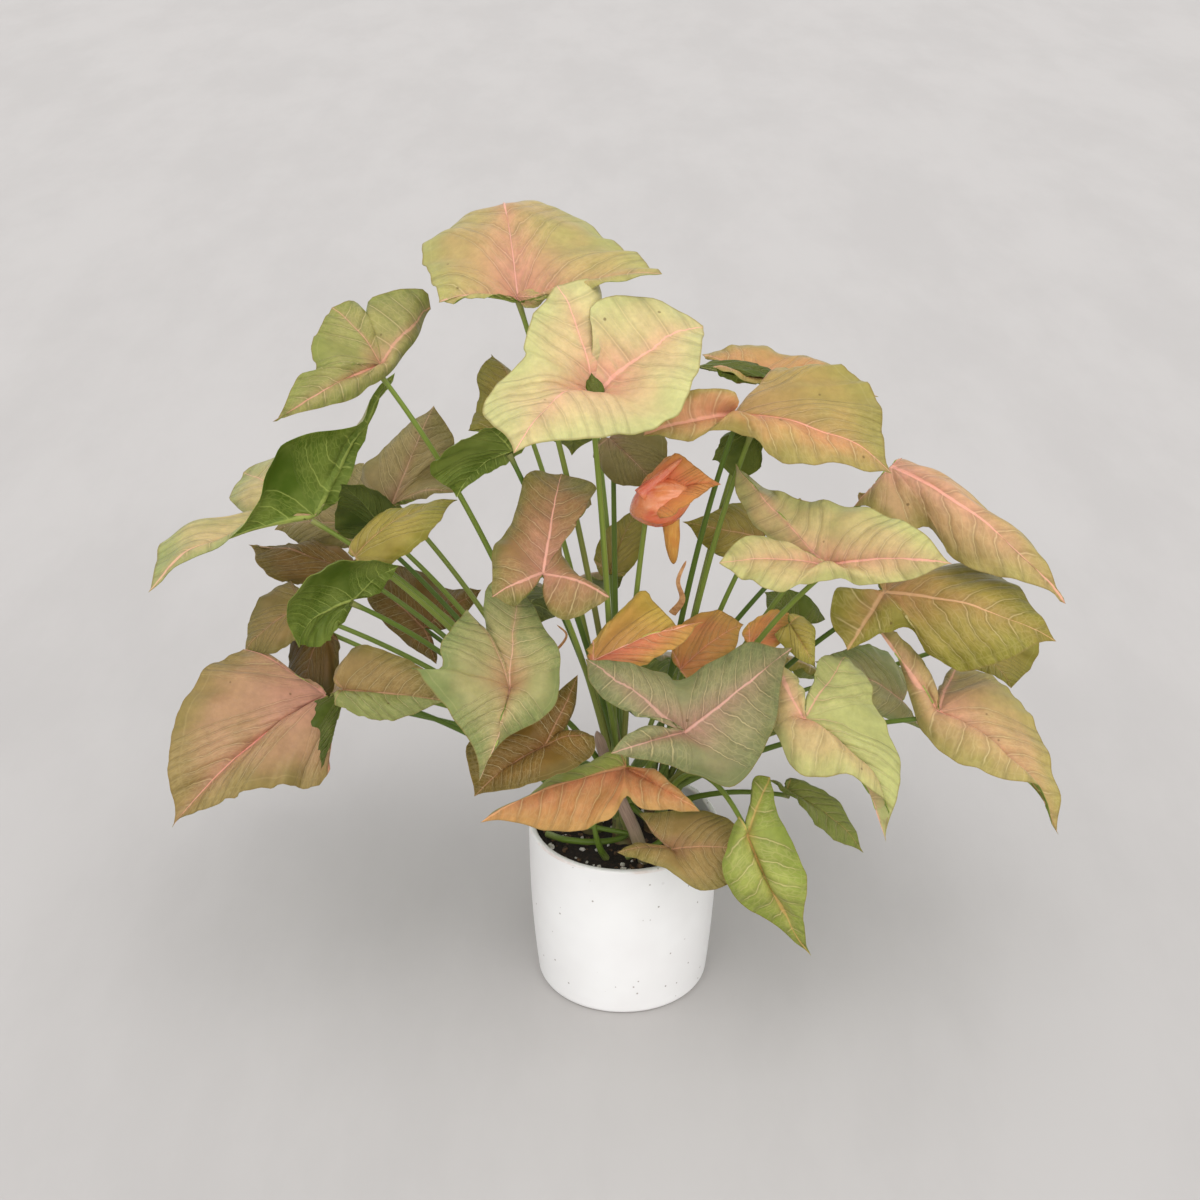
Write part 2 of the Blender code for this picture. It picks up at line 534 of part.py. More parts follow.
def build_petiole(spec, number, group):
    """One petiole as a closed mesh in the given collection, ready for a union."""
    line = petiole_line(spec, number)
    curve = bpy.data.curves.new("petiole_curve", "CURVE")
    curve.dimensions = "3D"
    curve.bevel_depth = PETIOLE_ROOT_RADIUS * MM
    curve.bevel_resolution = 1
    curve.use_fill_caps = True
    spline = curve.splines.new("POLY")
    spline.points.add(len(line) - 1)
    for i, (point, place) in enumerate(zip(spline.points, line)):
        share = i / PETIOLE_STEPS
        point.co = (*(place * MM), 1.0)
        point.radius = 1 + (PETIOLE_TOP_RADIUS / PETIOLE_ROOT_RADIUS - 1) * share
    guide = bpy.data.objects.new("petiole_guide", curve)
    group.objects.link(guide)
    graph = bpy.context.evaluated_depsgraph_get()
    mesh = bpy.data.meshes.new_from_object(guide.evaluated_get(graph))
    shape = bmesh.new()
    shape.from_mesh(mesh)
    bmesh.ops.remove_doubles(shape, verts=shape.verts, dist=1e-6)
    bmesh.ops.recalc_face_normals(shape, faces=shape.faces)
    shape.to_mesh(mesh)
    shape.free()
    tube = bpy.data.objects.new("petiole_tube", mesh)
    tube.matrix_world = guide.matrix_world
    group.objects.link(tube)
    bpy.data.objects.remove(guide)
    bpy.data.curves.remove(curve)


def build_stem(crown_name, group):
    """A short stem in the soil, joined with every petiole that springs from it."""
    x, y = CROWNS[crown_name]
    shape = bmesh.new()
    bmesh.ops.create_cone(
        shape, cap_ends=True, segments=CROWN_SIDES, depth=CROWN_LENGTH * MM,
        radius1=CROWN_FOOT_RADIUS * MM, radius2=CROWN_TOP_RADIUS * MM,
    )
    bmesh.ops.translate(shape, verts=shape.verts, vec=(x * MM, y * MM, (CROWN_FOOT + CROWN_LENGTH / 2) * MM))
    stem = add_object("stem_" + crown_name, shape, "petiole")
    for number, spec in enumerate(leaves):
        if spec["stem"] == crown_name:
            build_petiole(spec, number, group)
    union = stem.modifiers.new("petioles", "BOOLEAN")
    union.operation = "UNION"
    union.operand_type = "COLLECTION"
    union.collection = group
    union.solver = "MANIFOLD"
    apply_modifiers(stem)
    for tube in list(group.objects):
        bpy.data.objects.remove(tube)


def pot_radius(height):
    return POT_RIM_RADIUS - POT_TAPER * (1 - height / POT_HEIGHT) ** POT_TAPER_POWER


def quarter_round(centre_x, centre_z, radius, start, end, count=4):
    angles = [math.radians(start + (end - start) * i / (count - 1)) for i in range(count)]
    return [(centre_x + radius * math.cos(a), centre_z + radius * math.sin(a)) for a in angles]


def turned(name, profile, slot):
    """A closed turned body from a profile of (radius, height) points, from axis to axis."""
    shape = bmesh.new()
    corners = [shape.verts.new((radius * MM, 0.0, height * MM)) for radius, height in profile]
    for first, second in zip(corners, corners[1:]):
        shape.edges.new((first, second))
    body = add_object(name, shape, slot)
    screw = body.modifiers.new("turn", "SCREW")
    screw.steps = TURN_STEPS
    screw.render_steps = TURN_STEPS
    screw.use_merge_vertices = True
    screw.merge_threshold = 0.0001
    apply_modifiers(body)
    body.data.shade_smooth()
    body.data.set_sharp_from_angle(angle=math.radians(40))
    return body


def build_pot():
    rim_in = POT_RIM_RADIUS - POT_WALL + POT_RIM_ROUND
    rim_out = POT_RIM_RADIUS - POT_RIM_ROUND
    rim_z = POT_HEIGHT - POT_RIM_ROUND
    foot_x = pot_radius(POT_FOOT_ROUND) - POT_FOOT_ROUND
    inside = [(pot_radius(z) - POT_WALL, z) for z in (POT_FLOOR, *POT_INSIDE_HEIGHTS)]
    outside = [(pot_radius(z), z) for z in POT_OUTSIDE_HEIGHTS]
    profile = [(0.0, POT_FLOOR)] + inside
    profile += quarter_round(rim_in, rim_z, POT_RIM_ROUND, 180, 90, 3)
    profile += quarter_round(rim_out, rim_z, POT_RIM_ROUND, 90, 0, 3)
    profile += outside
    profile += quarter_round(foot_x, POT_FOOT_ROUND, POT_FOOT_ROUND, 0, -90)
    profile += [(0.0, 0.0)]
    turned("pot", profile, "ceramic")


def build_soil(cutters):
    wall = POT_WALL + CLEARANCE
    bottom = POT_FLOOR + CLEARANCE
    heights = (SOIL_TOP, *reversed(POT_INSIDE_HEIGHTS), bottom)
    profile = [(0.0, SOIL_TOP)] + [(pot_radius(z) - wall, z) for z in heights] + [(0.0, bottom)]
    soil = turned("soil", profile, "soil")
    hole_foot = CROWN_FOOT - CLEARANCE
    hole_top = SOIL_TOP + CROWN_HOLE_RISE
    hole_radius = (CROWN_FOOT_RADIUS + CROWN_HOLE_GAP) * MM
    for name, (x, y) in CROWNS.items():
        shape = bmesh.new()
        bmesh.ops.create_cone(
            shape, cap_ends=True, segments=CROWN_SIDES, depth=(hole_top - hole_foot) * MM,
            radius1=hole_radius, radius2=hole_radius,
        )
        middle = (hole_top + hole_foot) / 2
        bmesh.ops.translate(shape, verts=shape.verts, vec=(x * MM, y * MM, middle * MM))
        hole = add_object("hole_" + name, shape, "soil", cutters)
        hole.hide_render = True
        hole.display_type = "WIRE"
    cut = soil.modifiers.new("stem holes", "BOOLEAN")
    cut.operation = "DIFFERENCE"
    cut.operand_type = "COLLECTION"
    cut.collection = cutters


def build_material(slot):
    colour, roughness = COLOURS[slot]
    name = slot if slot in ("petiole", "ceramic", "soil") else "leaf_" + slot
    material = bpy.data.materials.new(name)
    material.use_nodes = True
    shader = material.node_tree.nodes["Principled BSDF"]
    shader.inputs["Base Color"].default_value = (*colour, 1.0)
    shader.inputs["Roughness"].default_value = roughness
    shader.inputs["Metallic"].default_value = 0.0
    material.diffuse_color = (*colour, 1.0)


def add_object(name, shape, slot, group=None):
    """A new object from the bmesh, with its material, in the plant's collection or another."""
    mesh = bpy.data.meshes.new(name)
    shape.to_mesh(mesh)
    shape.free()
    mesh.materials.append(bpy.data.materials[slot])
    body = bpy.data.objects.new(name, mesh)
    (group or bpy.data.collections["arrowhead_plant"]).objects.link(body)
    return body


def apply_modifiers(body):
    graph = bpy.context.evaluated_depsgraph_get()
    mesh = bpy.data.meshes.new_from_object(body.evaluated_get(graph))
    body.modifiers.clear()
    body.data = mesh


def add_collection(name):
    group = bpy.data.collections.new(name)
    bpy.context.scene.collection.children.link(group)
    return group


def clear_scene():
    for body in list(bpy.data.objects):
        bpy.data.objects.remove(body)


def main():
    clear_scene()
    for slot in COLOURS:
        build_material(slot)
    add_collection("arrowhead_plant")
    cutters = add_collection("cutters")
    petioles = add_collection("petioles")
    add_back_leaves()
    for number, spec in enumerate(leaves):
        build_blade(spec, number)
    for crown_name in CROWNS:
        build_stem(crown_name, petioles)
    build_pot()
    build_soil(cutters)


main()
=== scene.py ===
import json
import math

import bmesh
import bpy
import numpy as np
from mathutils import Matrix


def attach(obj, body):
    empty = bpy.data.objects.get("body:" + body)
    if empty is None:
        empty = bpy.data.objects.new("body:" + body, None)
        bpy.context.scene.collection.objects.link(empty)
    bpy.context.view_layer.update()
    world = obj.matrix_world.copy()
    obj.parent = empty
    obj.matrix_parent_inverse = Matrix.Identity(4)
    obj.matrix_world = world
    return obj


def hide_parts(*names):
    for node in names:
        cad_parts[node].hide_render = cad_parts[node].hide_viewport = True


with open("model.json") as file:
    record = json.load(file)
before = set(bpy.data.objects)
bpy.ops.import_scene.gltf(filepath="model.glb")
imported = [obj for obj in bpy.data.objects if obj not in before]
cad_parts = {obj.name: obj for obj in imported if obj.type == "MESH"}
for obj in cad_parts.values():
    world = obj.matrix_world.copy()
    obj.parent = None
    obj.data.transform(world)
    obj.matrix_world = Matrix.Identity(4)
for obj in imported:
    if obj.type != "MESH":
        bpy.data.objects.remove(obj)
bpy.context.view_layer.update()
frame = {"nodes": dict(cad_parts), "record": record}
slotOfNode = {part["node"]: part["material_slot"] for part in frame["record"]["subparts"]}
print("frame loaded with", len(frame["nodes"]), "nodes")

mm = 0.001

# camera and light
viewSettings = {
    "cameraPlace": (-0.016, -1.09, 0.833),
    "cameraTilt": 63.5,
    "lens": 56.34,
    "keyTurn": (44.0, 0.0, 17.0),
    "keySpread": 84.0,
    "keyStrength": 1.68,
    "fillTurn": (46.0, 0.0, -40.0),
    "fillSpread": 110.0,
    "fillStrength": 0.5,
    "skyColour": (0.97, 0.98, 1.0),
    "skyStrength": 0.92,
}


def addSoftLight(name, turn, spread, strength):
    # an even light from one side, as wide as a large studio box
    lamp = bpy.data.lights.new(name, "SUN")
    lamp.angle = math.radians(spread)
    lamp.energy = strength
    lampObject = bpy.data.objects.new(name, lamp)
    lampObject.rotation_euler = [math.radians(angle) for angle in turn]
    bpy.context.scene.collection.objects.link(lampObject)


def setUpView():
    camera = bpy.data.cameras.new("plantCamera")
    camera.lens = viewSettings["lens"]
    camera.sensor_width = 36.0
    cameraObject = bpy.data.objects.new("plantCamera", camera)
    cameraObject.location = viewSettings["cameraPlace"]
    cameraObject.rotation_euler = (math.radians(viewSettings["cameraTilt"]), 0.0, 0.0)
    bpy.context.scene.collection.objects.link(cameraObject)
    bpy.context.scene.camera = cameraObject
    for name in ("key", "fill"):
        addSoftLight(name + "Light", viewSettings[name + "Turn"], viewSettings[name + "Spread"],
                     viewSettings[name + "Strength"])
    world = bpy.data.worlds.new("softSky")
    world.use_nodes = True
    backdrop = world.node_tree.nodes["Background"]
    backdrop.inputs["Color"].default_value = (*viewSettings["skyColour"], 1.0)
    backdrop.inputs["Strength"].default_value = viewSettings["skyStrength"]
    bpy.context.scene.world = world
    bpy.context.scene.view_settings.view_transform = "Standard"


setUpView()
print("camera and lights are set")


# shader building blocks
class NodeSheet:
    # a node tree with short calls that add nodes and link their sockets
    def __init__(self, tree):
        self.tree = tree

    def put(self, socket, value):
        if isinstance(value, bpy.types.NodeSocket):
            self.tree.links.new(value, socket)
        elif value is not None:
            socket.default_value = value

    def math(self, operation, first, second=None, third=None, clamp=False):
        node = self.tree.nodes.new("ShaderNodeMath")
        node.operation = operation
        node.use_clamp = clamp
        for socket, value in zip(node.inputs, (first, second, third)):
            self.put(socket, value)
        return node.outputs[0]

    def times(self, first, second, clamp=False):
        return self.math("MULTIPLY", first, second, clamp=clamp)

    def plus(self, first, second):
        return self.math("ADD", first, second)

    def minus(self, first, second):
        return self.math("SUBTRACT", first, second)

    def ramp(self, value, low, high, outLow=0.0, outHigh=1.0):
        node = self.tree.nodes.new("ShaderNodeMapRange")
        node.interpolation_type = "SMOOTHSTEP"
        for name, number in (("Value", value), ("From Min", low), ("From Max", high),
                             ("To Min", outLow), ("To Max", outHigh)):
            self.put(node.inputs[name], number)
        return node.outputs[0]

    def mix(self, factor, first, second, blend="MIX"):
        node = self.tree.nodes.new("ShaderNodeMix")
        node.data_type = "RGBA"
        node.blend_type = blend
        self.put(node.inputs[0], factor)
        self.put(node.inputs[6], first)
        self.put(node.inputs[7], second)
        return node.outputs[2]

    def shaded(self, colour, share):
        return self.mix(1.0, colour, self.join(share, share, share), "MULTIPLY")

    def noise(self, vector, scale, detail=3.0, roughness=0.55):
        node = self.tree.nodes.new("ShaderNodeTexNoise")
        node.inputs["Scale"].default_value = scale
        node.inputs["Detail"].default_value = detail
        node.inputs["Roughness"].default_value = roughness
        self.put(node.inputs["Vector"], vector)
        return node.outputs["Fac"]

    def cells(self, vector, scale, output="Distance", feature="F1"):
        node = self.tree.nodes.new("ShaderNodeTexVoronoi")
        node.feature = feature
        node.inputs["Scale"].default_value = scale
        self.put(node.inputs["Vector"], vector)
        return node.outputs[output]

    def split(self, vector):
        node = self.tree.nodes.new("ShaderNodeSeparateXYZ")
        self.put(node.inputs[0], vector)
        return node.outputs

    def join(self, x, y, z=0.0):
        node = self.tree.nodes.new("ShaderNodeCombineXYZ")
        for socket, value in zip(node.inputs, (x, y, z)):
            self.put(socket, value)
        return node.outputs[0]

    def uvMap(self, name):
        node = self.tree.nodes.new("ShaderNodeUVMap")
        node.uv_map = name
        return node.outputs[0]

    def place(self):
        return self.tree.nodes.new("ShaderNodeTexCoord").outputs["Object"]

    def group(self, tree, **values):
        node = self.tree.nodes.new("ShaderNodeGroup")
        node.node_tree = tree
        for name, value in values.items():
            self.put(node.inputs[name], value)
        return node.outputs

    def bump(self, height, strength, distance):
        node = self.tree.nodes.new("ShaderNodeBump")
        node.inputs["Strength"].default_value = strength
        node.inputs["Distance"].default_value = distance
        self.put(node.inputs["Height"], height)
        return node.outputs[0]


def newGroup(name, inputs, outputs):
    tree = bpy.data.node_groups.new(name, "ShaderNodeTree")
    for socketName, kind, value in inputs:
        socket = tree.interface.new_socket(socketName, in_out="INPUT", socket_type=kind)
        if value is not None:
            socket.default_value = value
    for socketName in outputs:
        tree.interface.new_socket(socketName, in_out="OUTPUT", socket_type="NodeSocketFloat")
    inside = tree.nodes.new("NodeGroupInput")
    outside = tree.nodes.new("NodeGroupOutput")
    return tree, NodeSheet(tree), inside.outputs, outside.inputs


def newMaterial(name, roughness):
    material = bpy.data.materials.new(name)
    material.use_nodes = True
    shader = material.node_tree.nodes["Principled BSDF"]
    shader.inputs["Roughness"].default_value = roughness
    return material, NodeSheet(material.node_tree), shader.inputs


def dress(sheet, socket, colour, roughness, height, strength, depth):
    sheet.put(socket["Base Color"], colour)
    sheet.put(socket["Roughness"], roughness)
    sheet.put(socket["Normal"], sheet.bump(height, strength, depth))


# vein pattern in the blade's own flat coordinates: knee at the origin, tip at one on the x axis
veinPlan = {
    "lobeAngle": 145.7,
    "firstSlope": 0.45,
    "curl": 0.95,
    "spacing": 0.145,
    "lobeSpacing": 0.15,
    "ribWidth": 0.015,
    "sideWidth": 0.0080,
    "edgeVein": 0.925,
    "kneeGlow": 0.62,
    "ribGlow": 0.16,
    "wobble": 0.09,
    "edgeNet": 0.24,
    "lobeRibShare": 0.75,
}


def buildVeinGroup():
    tree, sheet, given, result = newGroup("leafVeins",
                                          [("Flat", "NodeSocketVector", None),
                                           ("Edge", "NodeSocketVector", None),
                                           ("Spread", "NodeSocketFloat", 1.0)],
                                          ["Rib", "Vein", "Heart", "Streak", "Margin", "Reach", "Height"])
    wobble = sheet.math("MULTIPLY_ADD", sheet.noise(given["Flat"], 5.0, 3.0), veinPlan["wobble"],
                        -veinPlan["wobble"] / 2)
    flatX, flatY, _ = sheet.split(given["Flat"])
    reach, _, _ = sheet.split(given["Edge"])
    x = sheet.plus(flatX, wobble)
    y = sheet.math("ABSOLUTE", sheet.math("MULTIPLY_ADD", wobble, 0.3, flatY))
    turn = math.radians(veinPlan["lobeAngle"])
    lobeX = sheet.math("MULTIPLY_ADD", y, math.sin(turn), sheet.times(x, math.cos(turn)))
    lobeY = sheet.math("MULTIPLY_ADD", y, math.cos(turn), sheet.times(x, -math.sin(turn)))
    lobeSide = sheet.math("ABSOLUTE", lobeY)

    def startOf(along, aside):
        bend = sheet.times(sheet.times(aside, aside), veinPlan["curl"])
        return sheet.minus(sheet.math("MULTIPLY_ADD", aside, -veinPlan["firstSlope"], along), bend)

    def lineAt(start, spacing, aside):
        # the main side veins, the thinner ones half way between them, and the puffed skin's height
        away = sheet.math("PINGPONG", sheet.math("DIVIDE", start, spacing), 0.5)
        width = sheet.ramp(aside, 0.0, 0.42, veinPlan["sideWidth"] / spacing,
                           veinPlan["sideWidth"] * 0.4 / spacing)
        main = sheet.ramp(sheet.math("DIVIDE", away, width), 0.0, 1.0, 1.0, 0.0)
        between = sheet.minus(0.5, away)
        thin = sheet.ramp(sheet.math("DIVIDE", between, width), 0.0, 0.7, 0.5, 0.0)
        thin = sheet.times(thin, sheet.ramp(aside, 0.03, 0.10))
        puffed = sheet.ramp(away, 0.0, 0.28)
        return sheet.math("MAXIMUM", main, thin), puffed

    def ribAt(along, aside):
        width = sheet.ramp(along, 0.0, 0.95, veinPlan["ribWidth"], veinPlan["ribWidth"] * 0.3)
        line = sheet.ramp(sheet.math("DIVIDE", aside, width), 0.4, 1.0, 1.0, 0.0)
        return sheet.times(line, sheet.ramp(along, -0.02, 0.01))

    sideStart = startOf(x, y)
    lobeStart = startOf(lobeX, lobeSide)
    sideLine, sidePuff = lineAt(sideStart, veinPlan["spacing"], y)
    lobeLine, lobePuff = lineAt(lobeStart, veinPlan["lobeSpacing"], lobeSide)
    isSide = sheet.ramp(sideStart, -0.012, -0.004)
    isLobe = sheet.times(sheet.minus(1.0, isSide), sheet.ramp(lobeStart, 0.01, 0.03))

    def either(ofSide, ofLobe):
        return sheet.plus(sheet.times(ofSide, isSide), sheet.times(ofLobe, isLobe))

    # streaks and the finest net run with the side veins
    along = either(sideStart, sheet.plus(lobeStart, 3.0))
    aside = either(y, lobeSide)
    streak = sheet.noise(sheet.join(sheet.times(along, 22.0), sheet.times(aside, 5.0)), 1.0, 4.0)
    cell = sheet.cells(sheet.join(sheet.times(along, 30.0), sheet.times(aside, 22.0), wobble), 1.0,
                       feature="DISTANCE_TO_EDGE")
    net = sheet.ramp(cell, 0.0, 0.13, 1.0, 0.0)
    veins = sheet.times(either(sideLine, lobeLine), sheet.ramp(reach, 0.84, 0.97, 1.0, 0.1))
    edgeLine = sheet.ramp(sheet.math("ABSOLUTE", sheet.minus(reach, veinPlan["edgeVein"])), 0.0, 0.011, 0.2,
                          0.0)
    veins = sheet.math("MAXIMUM", veins, edgeLine)
    veins = sheet.math("MAXIMUM", veins, sheet.times(net, veinPlan["edgeNet"]), clamp=True)
    lobeRib = ribAt(lobeX, sheet.times(lobeSide, 1.5))
    ribs = sheet.math("MAXIMUM", ribAt(x, y), sheet.times(lobeRib, veinPlan["lobeRibShare"]))
    farKnee = sheet.times(veinPlan["kneeGlow"], given["Spread"])
    farRib = sheet.times(veinPlan["ribGlow"], given["Spread"])
    kneeGlow = sheet.minus(1.0, sheet.ramp(sheet.math("DIVIDE", reach, farKnee), 0.05, 1.0))
    nearMid = sheet.plus(y, sheet.ramp(x, -0.12, 0.0, 0.6, 0.0))
    nearLobe = sheet.math("MULTIPLY_ADD", lobeSide, 2.4, sheet.ramp(lobeX, -0.1, 0.0, 0.6, 0.0))
    ribNear = sheet.math("MINIMUM", nearMid, nearLobe)
    ribGlow = sheet.minus(1.0, sheet.ramp(sheet.math("DIVIDE", ribNear, farRib), 0.0, 1.0))
    ribGlow = sheet.times(ribGlow, sheet.ramp(reach, 0.3, 0.9, 0.7, 0.2))
    sheet.put(result["Rib"], ribs)
    sheet.put(result["Vein"], veins)
    sheet.put(result["Heart"], sheet.math("MAXIMUM", kneeGlow, ribGlow))
    sheet.put(result["Streak"], streak)
    edgeNoise = sheet.math("MULTIPLY_ADD", sheet.noise(given["Flat"], 3.5, 3.0), 0.3,
                           sheet.minus(reach, 0.15))
    sheet.put(result["Margin"], sheet.ramp(edgeNoise, 0.66, 1.0))
    sheet.put(result["Reach"], reach)
    plain = sheet.minus(sheet.minus(1.0, isSide), isLobe)
    height = sheet.math("MULTIPLY_ADD", plain, 0.75, either(sidePuff, lobePuff))
    height = sheet.minus(height, sheet.times(ribs, 0.5))
    height = sheet.math("MULTIPLY_ADD", streak, 0.3, height)
    sheet.put(result["Height"], sheet.minus(height, sheet.times(net, 0.12)))
    return tree


veinGroup = buildVeinGroup()

# each look: colours between the veins, at the rim, in the heart, on the ribs and underneath, and
# of a plain half
leafLooks = {
    "crownPink": ((188, 160, 104), (170, 170, 98), (210, 148, 122), (236, 168, 152), (84, 100, 30)),
    "paleYellow": ((210, 184, 134), (188, 190, 126), (218, 154, 130), (236, 168, 152), (122, 134, 58)),
    "strawPink": ((200, 174, 120), (182, 184, 114), (208, 150, 120), (232, 162, 146), (100, 116, 48)),
    "creamGreen": ((204, 178, 126), (138, 152, 90), (216, 162, 128), (232, 170, 150), (68, 88, 20)),
    "sagePink": ((164, 156, 94), (130, 138, 66), (202, 150, 118), (232, 160, 142), (84, 102, 30)),
    "orangePink": ((204, 150, 98), (152, 146, 76), (208, 138, 106), (236, 162, 140), (82, 100, 28)),
    "tanPink": ((192, 154, 108), (158, 150, 80), (210, 150, 124), (234, 162, 146), (84, 96, 32)),
    "clayPink": ((178, 138, 102), (138, 124, 68), (200, 144, 122), (230, 152, 138), (72, 82, 26)),
    "dustyMauve": ((150, 132, 86), (120, 112, 58), (168, 128, 98), (194, 150, 124), (72, 82, 24)),
    "roseBrown": ((162, 122, 80), (112, 116, 54), (188, 132, 106), (228, 162, 146), (74, 84, 24)),
    "warmBrown": ((126, 94, 42), (96, 84, 28), (146, 100, 60), (188, 134, 102), (62, 66, 16)),
    "tanBrown": ((160, 132, 80), (122, 112, 54), (172, 124, 90), (202, 148, 118), (74, 82, 26),
                 (142, 150, 86)),
    "oliveYellow": ((160, 142, 68), (132, 128, 46), (178, 132, 84), (210, 160, 118), (78, 88, 24)),
    "sageGreen": ((158, 150, 98), (116, 132, 74), (186, 144, 106), (214, 164, 142), (74, 96, 36)),
    "sageMauve": ((144, 136, 94), (118, 128, 80), (172, 132, 110), (214, 158, 146), (74, 90, 34)),
    "leafGreen": ((154, 160, 78), (128, 142, 56), (178, 152, 80), (208, 160, 92), (70, 94, 24)),
    "freshGreen": ((106, 118, 42), (84, 102, 30), (128, 124, 52), (164, 162, 84), (66, 84, 18)),
    "newOrange": ((214, 132, 86), (200, 156, 70), (222, 118, 92), (242, 172, 146), (168, 130, 44),
                  (190, 172, 70)),
    "budRed": ((218, 122, 78), (216, 146, 76), (216, 106, 76), (238, 164, 130), (202, 116, 66)),
    "orangeGreen": ((204, 138, 88), (192, 150, 86), (210, 126, 88), (226, 160, 112), (124, 128, 48),
                    (170, 178, 90)),
}
# the undersides' share is painted light: it brightens them as if light shone through the blade
leafFinish = {"seenShare": 0.84, "underPaintedLight": 1.3, "veinShare": 0.46, "underRoughness": 0.55,
              "thinGlow": 0.12, "glowDepth": 0.003, "specular": 0.16, "cream": (214, 194, 140),
              "fleck": (84, 60, 30), "ribPale": 0.12, "rimLine": (124, 104, 58), "underPale": (172, 180, 96),
              "underVeins": 0.85, "underRibs": 0.9}


def srgb(red, green, blue):
    # a colour from its 0 to 255 values, as a linear colour
    values = [part / 255 for part in (red, green, blue)]
    return tuple(v / 12.92 if v <= 0.04045 else ((v + 0.055) / 1.055) ** 2.4 for v in values) + (1.0,)


def srgbAll(colours):
    return [srgb(*colour) for colour in colours]


def buildLeafMaterial(look):
    blade, rim, heart, rib, under, *plainHalf = srgbAll(leafLooks[look])
    cream = srgb(*leafFinish["cream"])
    rib = tuple(own + (plain - own) * leafFinish["ribPale"] for own, plain in zip(rib, cream))
    seen = leafFinish["seenShare"]
    material, sheet, socket = newMaterial("leaf_" + look, 0.42)
    flatMap = sheet.uvMap("leafFlat")
    flush, toneAndPaintedLight, _ = sheet.split(sheet.uvMap("leafFlushAndPaintedLight"))
    veins = sheet.group(veinGroup, Flat=flatMap, Edge=sheet.uvMap("leafEdge"), Spread=flush)
    halfTint, _, _ = sheet.split(sheet.uvMap("leafHalf"))
    _, flatY, _ = sheet.split(flatMap)
    place = sheet.place()
    broad = sheet.noise(place, 22.0, 4.0)
    fine = sheet.noise(place, 260.0, 4.0, 0.65)
    colour = sheet.mix(sheet.ramp(broad, 0.40, 0.72, 0.0, 0.55), blade, rim)
    colour = sheet.mix(sheet.times(veins["Margin"], 0.75), colour, rim)
    glow = sheet.times(veins["Heart"], sheet.ramp(veins["Streak"], 0.25, 0.62, 0.55, 1.0))
    colour = sheet.mix(sheet.times(glow, sheet.math("MINIMUM", flush, 1.0)), colour, heart)
    # one half of some blades stays green
    greenHalf = sheet.ramp(sheet.times(sheet.ramp(flatY, -0.03, 0.03, -1.0, 1.0), halfTint), 0.0, 1.0)
    colour = sheet.mix(greenHalf, colour, plainHalf[0] if plainHalf else rim)
    # painted light and shade: the blade's brightness share, with random mottling of its own tone
    shading = sheet.times(sheet.ramp(fine, 0.25, 0.75, 0.92, 1.06), sheet.times(toneAndPaintedLight, seen))
    shading = sheet.times(shading, sheet.ramp(veins["Streak"], 0.3, 0.7, 0.93, 1.06))
    # painted shade and light: darker along the veins and in the rib grooves where the skin dips, a little
    # lighter on the puffs
    shading = sheet.times(shading, sheet.ramp(veins["Height"], 0.05, 0.85, 0.84, 1.03))
    shading = sheet.times(shading, sheet.ramp(sheet.noise(place, 70.0, 5.0, 0.6), 0.3, 0.7, 0.92, 1.07))
    colour = sheet.shaded(colour, shading)
    pale = sheet.mix(sheet.times(veins["Heart"], 0.8), cream, rib)
    # the pale veins and the ribs take the blade's painted light and shade share too
    pale = sheet.shaded(pale, toneAndPaintedLight)
    colour = sheet.mix(sheet.times(veins["Vein"], leafFinish["veinShare"]), colour, pale)
    ribShare = sheet.times(veins["Rib"], sheet.math("MULTIPLY_ADD", flush, 0.45, 0.35), clamp=True)
    colour = sheet.mix(ribShare, colour, sheet.shaded(rib, toneAndPaintedLight))
    flaw = sheet.times(sheet.ramp(sheet.cells(place, 75.0), 0.05, 0.10, 1.0, 0.0),
                       sheet.ramp(sheet.cells(place, 75.0, "Color"), 0.70, 0.72))
    colour = sheet.mix(sheet.times(flaw, 0.6), colour, srgb(*leafFinish["fleck"]))
    colour = sheet.mix(sheet.ramp(veins["Reach"], 0.978, 1.0, 0.0, 0.6), colour, srgb(*leafFinish["rimLine"]))
    dress(sheet, socket, colour, sheet.ramp(broad, 0.3, 0.7, 0.36, 0.5),
          sheet.math("MULTIPLY_ADD", fine, 0.3, veins["Height"]), 0.5, 0.0010)
    finishLeaf(socket)

    below, sheet, socket = newMaterial("underside_" + look, leafFinish["underRoughness"])
    flatMap = sheet.uvMap("leafFlat")
    veins = sheet.group(veinGroup, Flat=flatMap, Edge=sheet.uvMap("leafEdge"))
    _, toneAndPaintedLight, _ = sheet.split(sheet.uvMap("leafFlushAndPaintedLight"))
    place = sheet.place()
    pale = sheet.mix(0.6, under, srgb(*leafFinish["underPale"]))
    colour = sheet.mix(sheet.ramp(sheet.noise(place, 30.0, 4.0), 0.35, 0.7, 0.0, 0.4), under, pale)
    colour = sheet.mix(sheet.times(veins["Vein"], leafFinish["underVeins"]), colour, pale)
    colour = sheet.mix(sheet.times(veins["Rib"], leafFinish["underRibs"]), colour, pale)
    # painted light: the underside is brightened as if lit through the blade, and takes each blade's painted
    # light and shade share
    shading = sheet.times(sheet.ramp(veins["Streak"], 0.3, 0.7, 0.92, 1.08),
                          sheet.times(toneAndPaintedLight, leafFinish["underPaintedLight"]))
    colour = sheet.shaded(colour, shading)
    dress(sheet, socket, colour, sheet.ramp(sheet.noise(place, 40.0, 2.0), 0.3, 0.7, 0.46, 0.6),
          sheet.times(veins["Height"], -1.0), 0.5, 0.0010)
    finishLeaf(socket)
    return material, below


def finishLeaf(socket):
    socket["Subsurface Weight"].default_value = leafFinish["thinGlow"]
    socket["Subsurface Radius"].default_value = (0.6, 0.5, 0.15)
    socket["Subsurface Scale"].default_value = leafFinish["glowDepth"]
    socket["Specular IOR Level"].default_value = leafFinish["specular"]


leafMaterials = {look: buildLeafMaterial(look) for look in leafLooks}
print("leaf materials are built:", len(leafMaterials))
